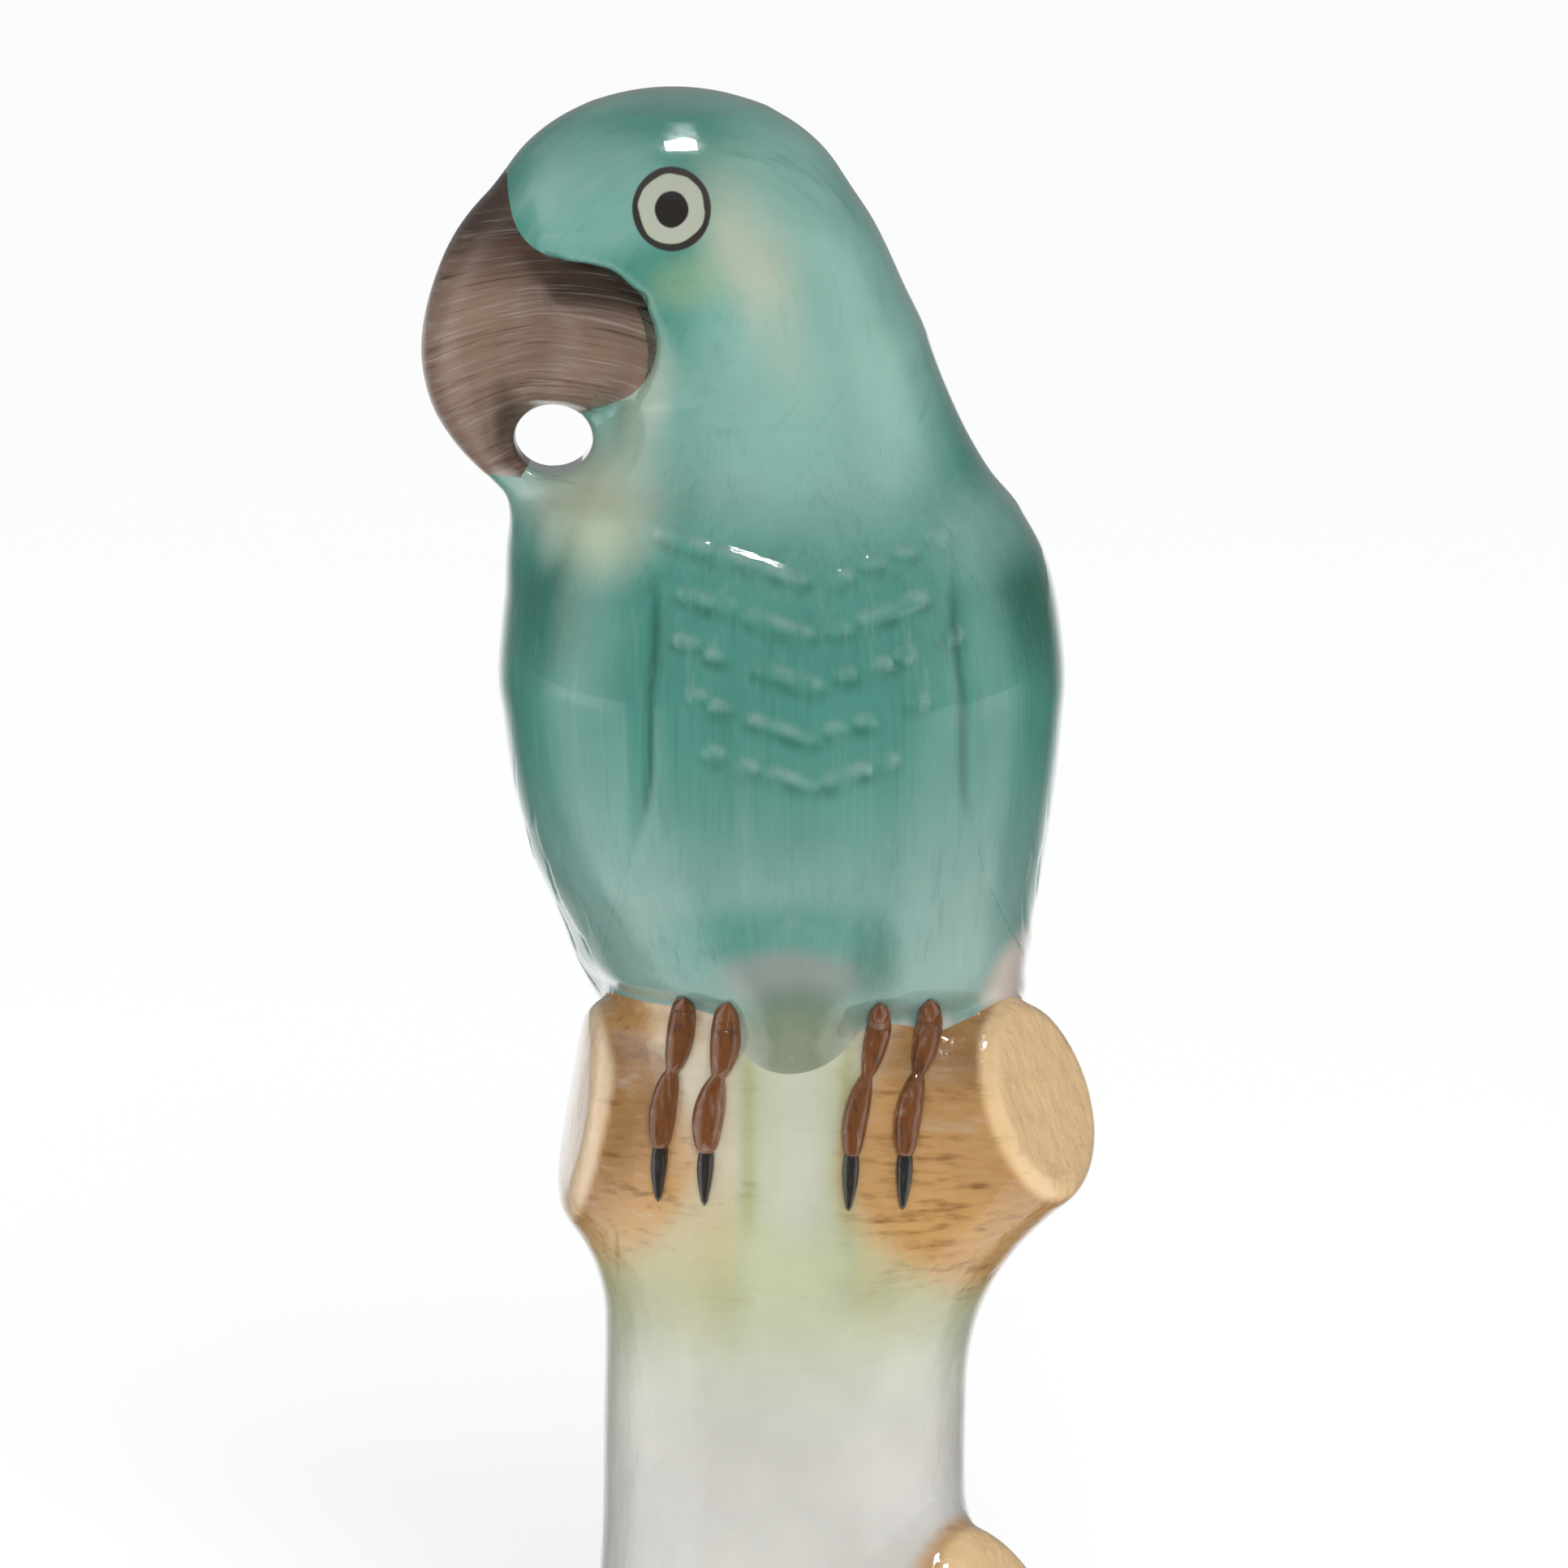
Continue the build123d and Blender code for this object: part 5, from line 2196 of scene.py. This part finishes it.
    def build(self) -> None:
        """Sets up everything round the figure."""
        self.camera()
        self.floor()
        self.room(strength=0.26)
        self.sky(azimuth=6.0, elevation=27.0, spread=20.0, strength=1.3)
        self.panel("left_panel", azimuth=-84.0, elevation=8.0, distance=0.9,
                   size=(0.95, 1.9), power=6.4, soft=0.5)
        self.panel("right_panel", azimuth=80.0, elevation=6.0, distance=0.9,
                   size=(1.2, 1.8), power=3.9, soft=0.5)
        self.panel("strip_lamp", azimuth=8.0, elevation=72.0, distance=1.0, size=(0.21, 0.13), power=3.6)
        self.flag()
        bpy.context.scene.view_settings.view_transform = "Standard"


# ------------------------------------------------ the figure

@dataclass
class Parrot:
    """The whole figure: one skin of clay, parted into castings along their seams."""

    forms: ParrotForms
    grain: float = 0.3
    wing_thickness: float = 2.0

    def skin(self) -> Skin:
        """Works the clay and takes its skin.

        Returns:
            The skin.
        """
        top = self.forms.crown + 2.5
        lump = Lump((-30, -28, -1.8), (30, 28, top), self.grain)
        self.forms.work(lump)
        points, faces = lump.skin()
        pressed = PlumageRelief(self.forms).press(points, faces)
        return Skin.smooth(pressed, self.forms.marks(points), faces)

    def parts(self, skin: Skin) -> dict[str, Skin]:
        """Parts the skin along the seams, in the order in which it comes apart.

        Args:
            skin: The whole skin.

        Returns:
            Each node's part.
        """
        left_wing, rest = part_as_shell(skin, Mark.LEFT_WING, self.wing_thickness)
        right_wing, rest = part_as_shell(rest, Mark.RIGHT_WING, self.wing_thickness)
        parts = {"left_wing": left_wing, "right_wing": right_wing}
        tree, bird = part_with_plugs(rest, Mark.TREE)
        beak, bird = part_with_plugs(bird, Mark.BEAK)
        parts["lower_beak"], parts["upper_beak"] = part_with_plugs(beak, Mark.LOWER_BEAK)
        parts["tail"], bird = part_with_plugs(bird, Mark.TAIL)
        parts["head"], parts["torso"] = part_with_plugs(bird, Mark.NECK)
        parts["base_mound"], tree = part_with_plugs(tree, Mark.BASE)
        parts["right_perch_stub"], tree = part_with_plugs(tree, Mark.RIGHT_STUB)
        parts["left_perch_stub"], tree = part_with_plugs(tree, Mark.LEFT_STUB)
        parts["lower_stub"], parts["trunk"] = part_with_plugs(tree, Mark.LOWER_STUB)
        return parts

    def build(self) -> None:
        """Makes every casting."""
        painter = ParrotPainter(self.forms)
        plumage = PaintedGlaze("teal_glaze").material()
        hx, tip_x, tip_z = self.forms.head_x, *self.forms.beak.tip
        nape = hx + 1.5, self.forms.crown - 15
        face = FaceGlaze("face_glaze", stroke=(0.5, 3.0, 4.0), pole=nape, eye=painter.eye).material()
        horn = PaintedGlaze("beak_glaze", stroke=(0.16, 3.0, 3.5), pole=(tip_x + 3.5, tip_z - 5.5),
                            gather=Pigment.HORN_DARK, boldness=0.95, roughness=0.3, coat=0.3).material()
        white, bark = (PaintedGlaze(name, stroke=(2.4, 0.9, 0.5), gather=Pigment.UMBER, boldness=0.85,
                                    ripple=ripple).material()
                       for name, ripple in (("white_glaze", 0.25), ("bark_glaze", 0.5)))
        dress = {
            "head": ("teal_glaze", painter.plumage, face),
            "upper_beak": ("beak_glaze", painter.horn, horn),
            "lower_beak": ("beak_glaze", painter.horn, horn),
            "trunk": ("white_glaze", painter.tree, white),
            "base_mound": ("white_glaze", painter.tree, white),
        }
        for stub in ("right_perch_stub", "left_perch_stub", "lower_stub"):
            dress[stub] = ("bark_glaze", painter.tree, bark)
        whole = self.skin()
        for node, skin in self.parts(whole).items():
            slot, paint, material = dress.get(node, ("teal_glaze", painter.plumage, plumage))
            Casting(node, slot, skin, paint, material).build()
        surface = BVHTree.FromPolygons((whole.points * MM).tolist(), whole.faces.tolist())
        chestnut = PaintedGlaze("toe_glaze", stroke=(0.3, 0.3, 1.6), gather=Pigment.NAIL,
                                boldness=0.8).material()
        nail = PaintedGlaze("claw_glaze", stroke=(0.3, 0.3, 2.0), gather=Pigment.GREY, boldness=0.3).material()
        feet = Foot(self.forms, surface, chestnut, nail)
        for digit in (Digit("left_outer", -6.6, -8.2, 0.98), Digit("left_inner", -3.6, -5.1, 1.08),
                      Digit("right_inner", 6.3, 4.5, 0.88), Digit("right_outer", 9.7, 8.1, 0.95)):
            feet.build(digit)


def main() -> None:
    """Builds the figure round the frame and sets up the studio."""
    logging.basicConfig(level=logging.INFO, format="%(message)s")
    for thing in list(bpy.data.objects):
        bpy.data.objects.remove(thing)
    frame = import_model()
    LOG.info("frame with %d nodes", len(frame["nodes"]))
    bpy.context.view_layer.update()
    forms = ParrotForms()
    Parrot(forms, grain=0.3).build()
    Studio(aim=(0.0, 0.0, 84.65 * MM)).build()


if __name__ == "__main__":
    main()
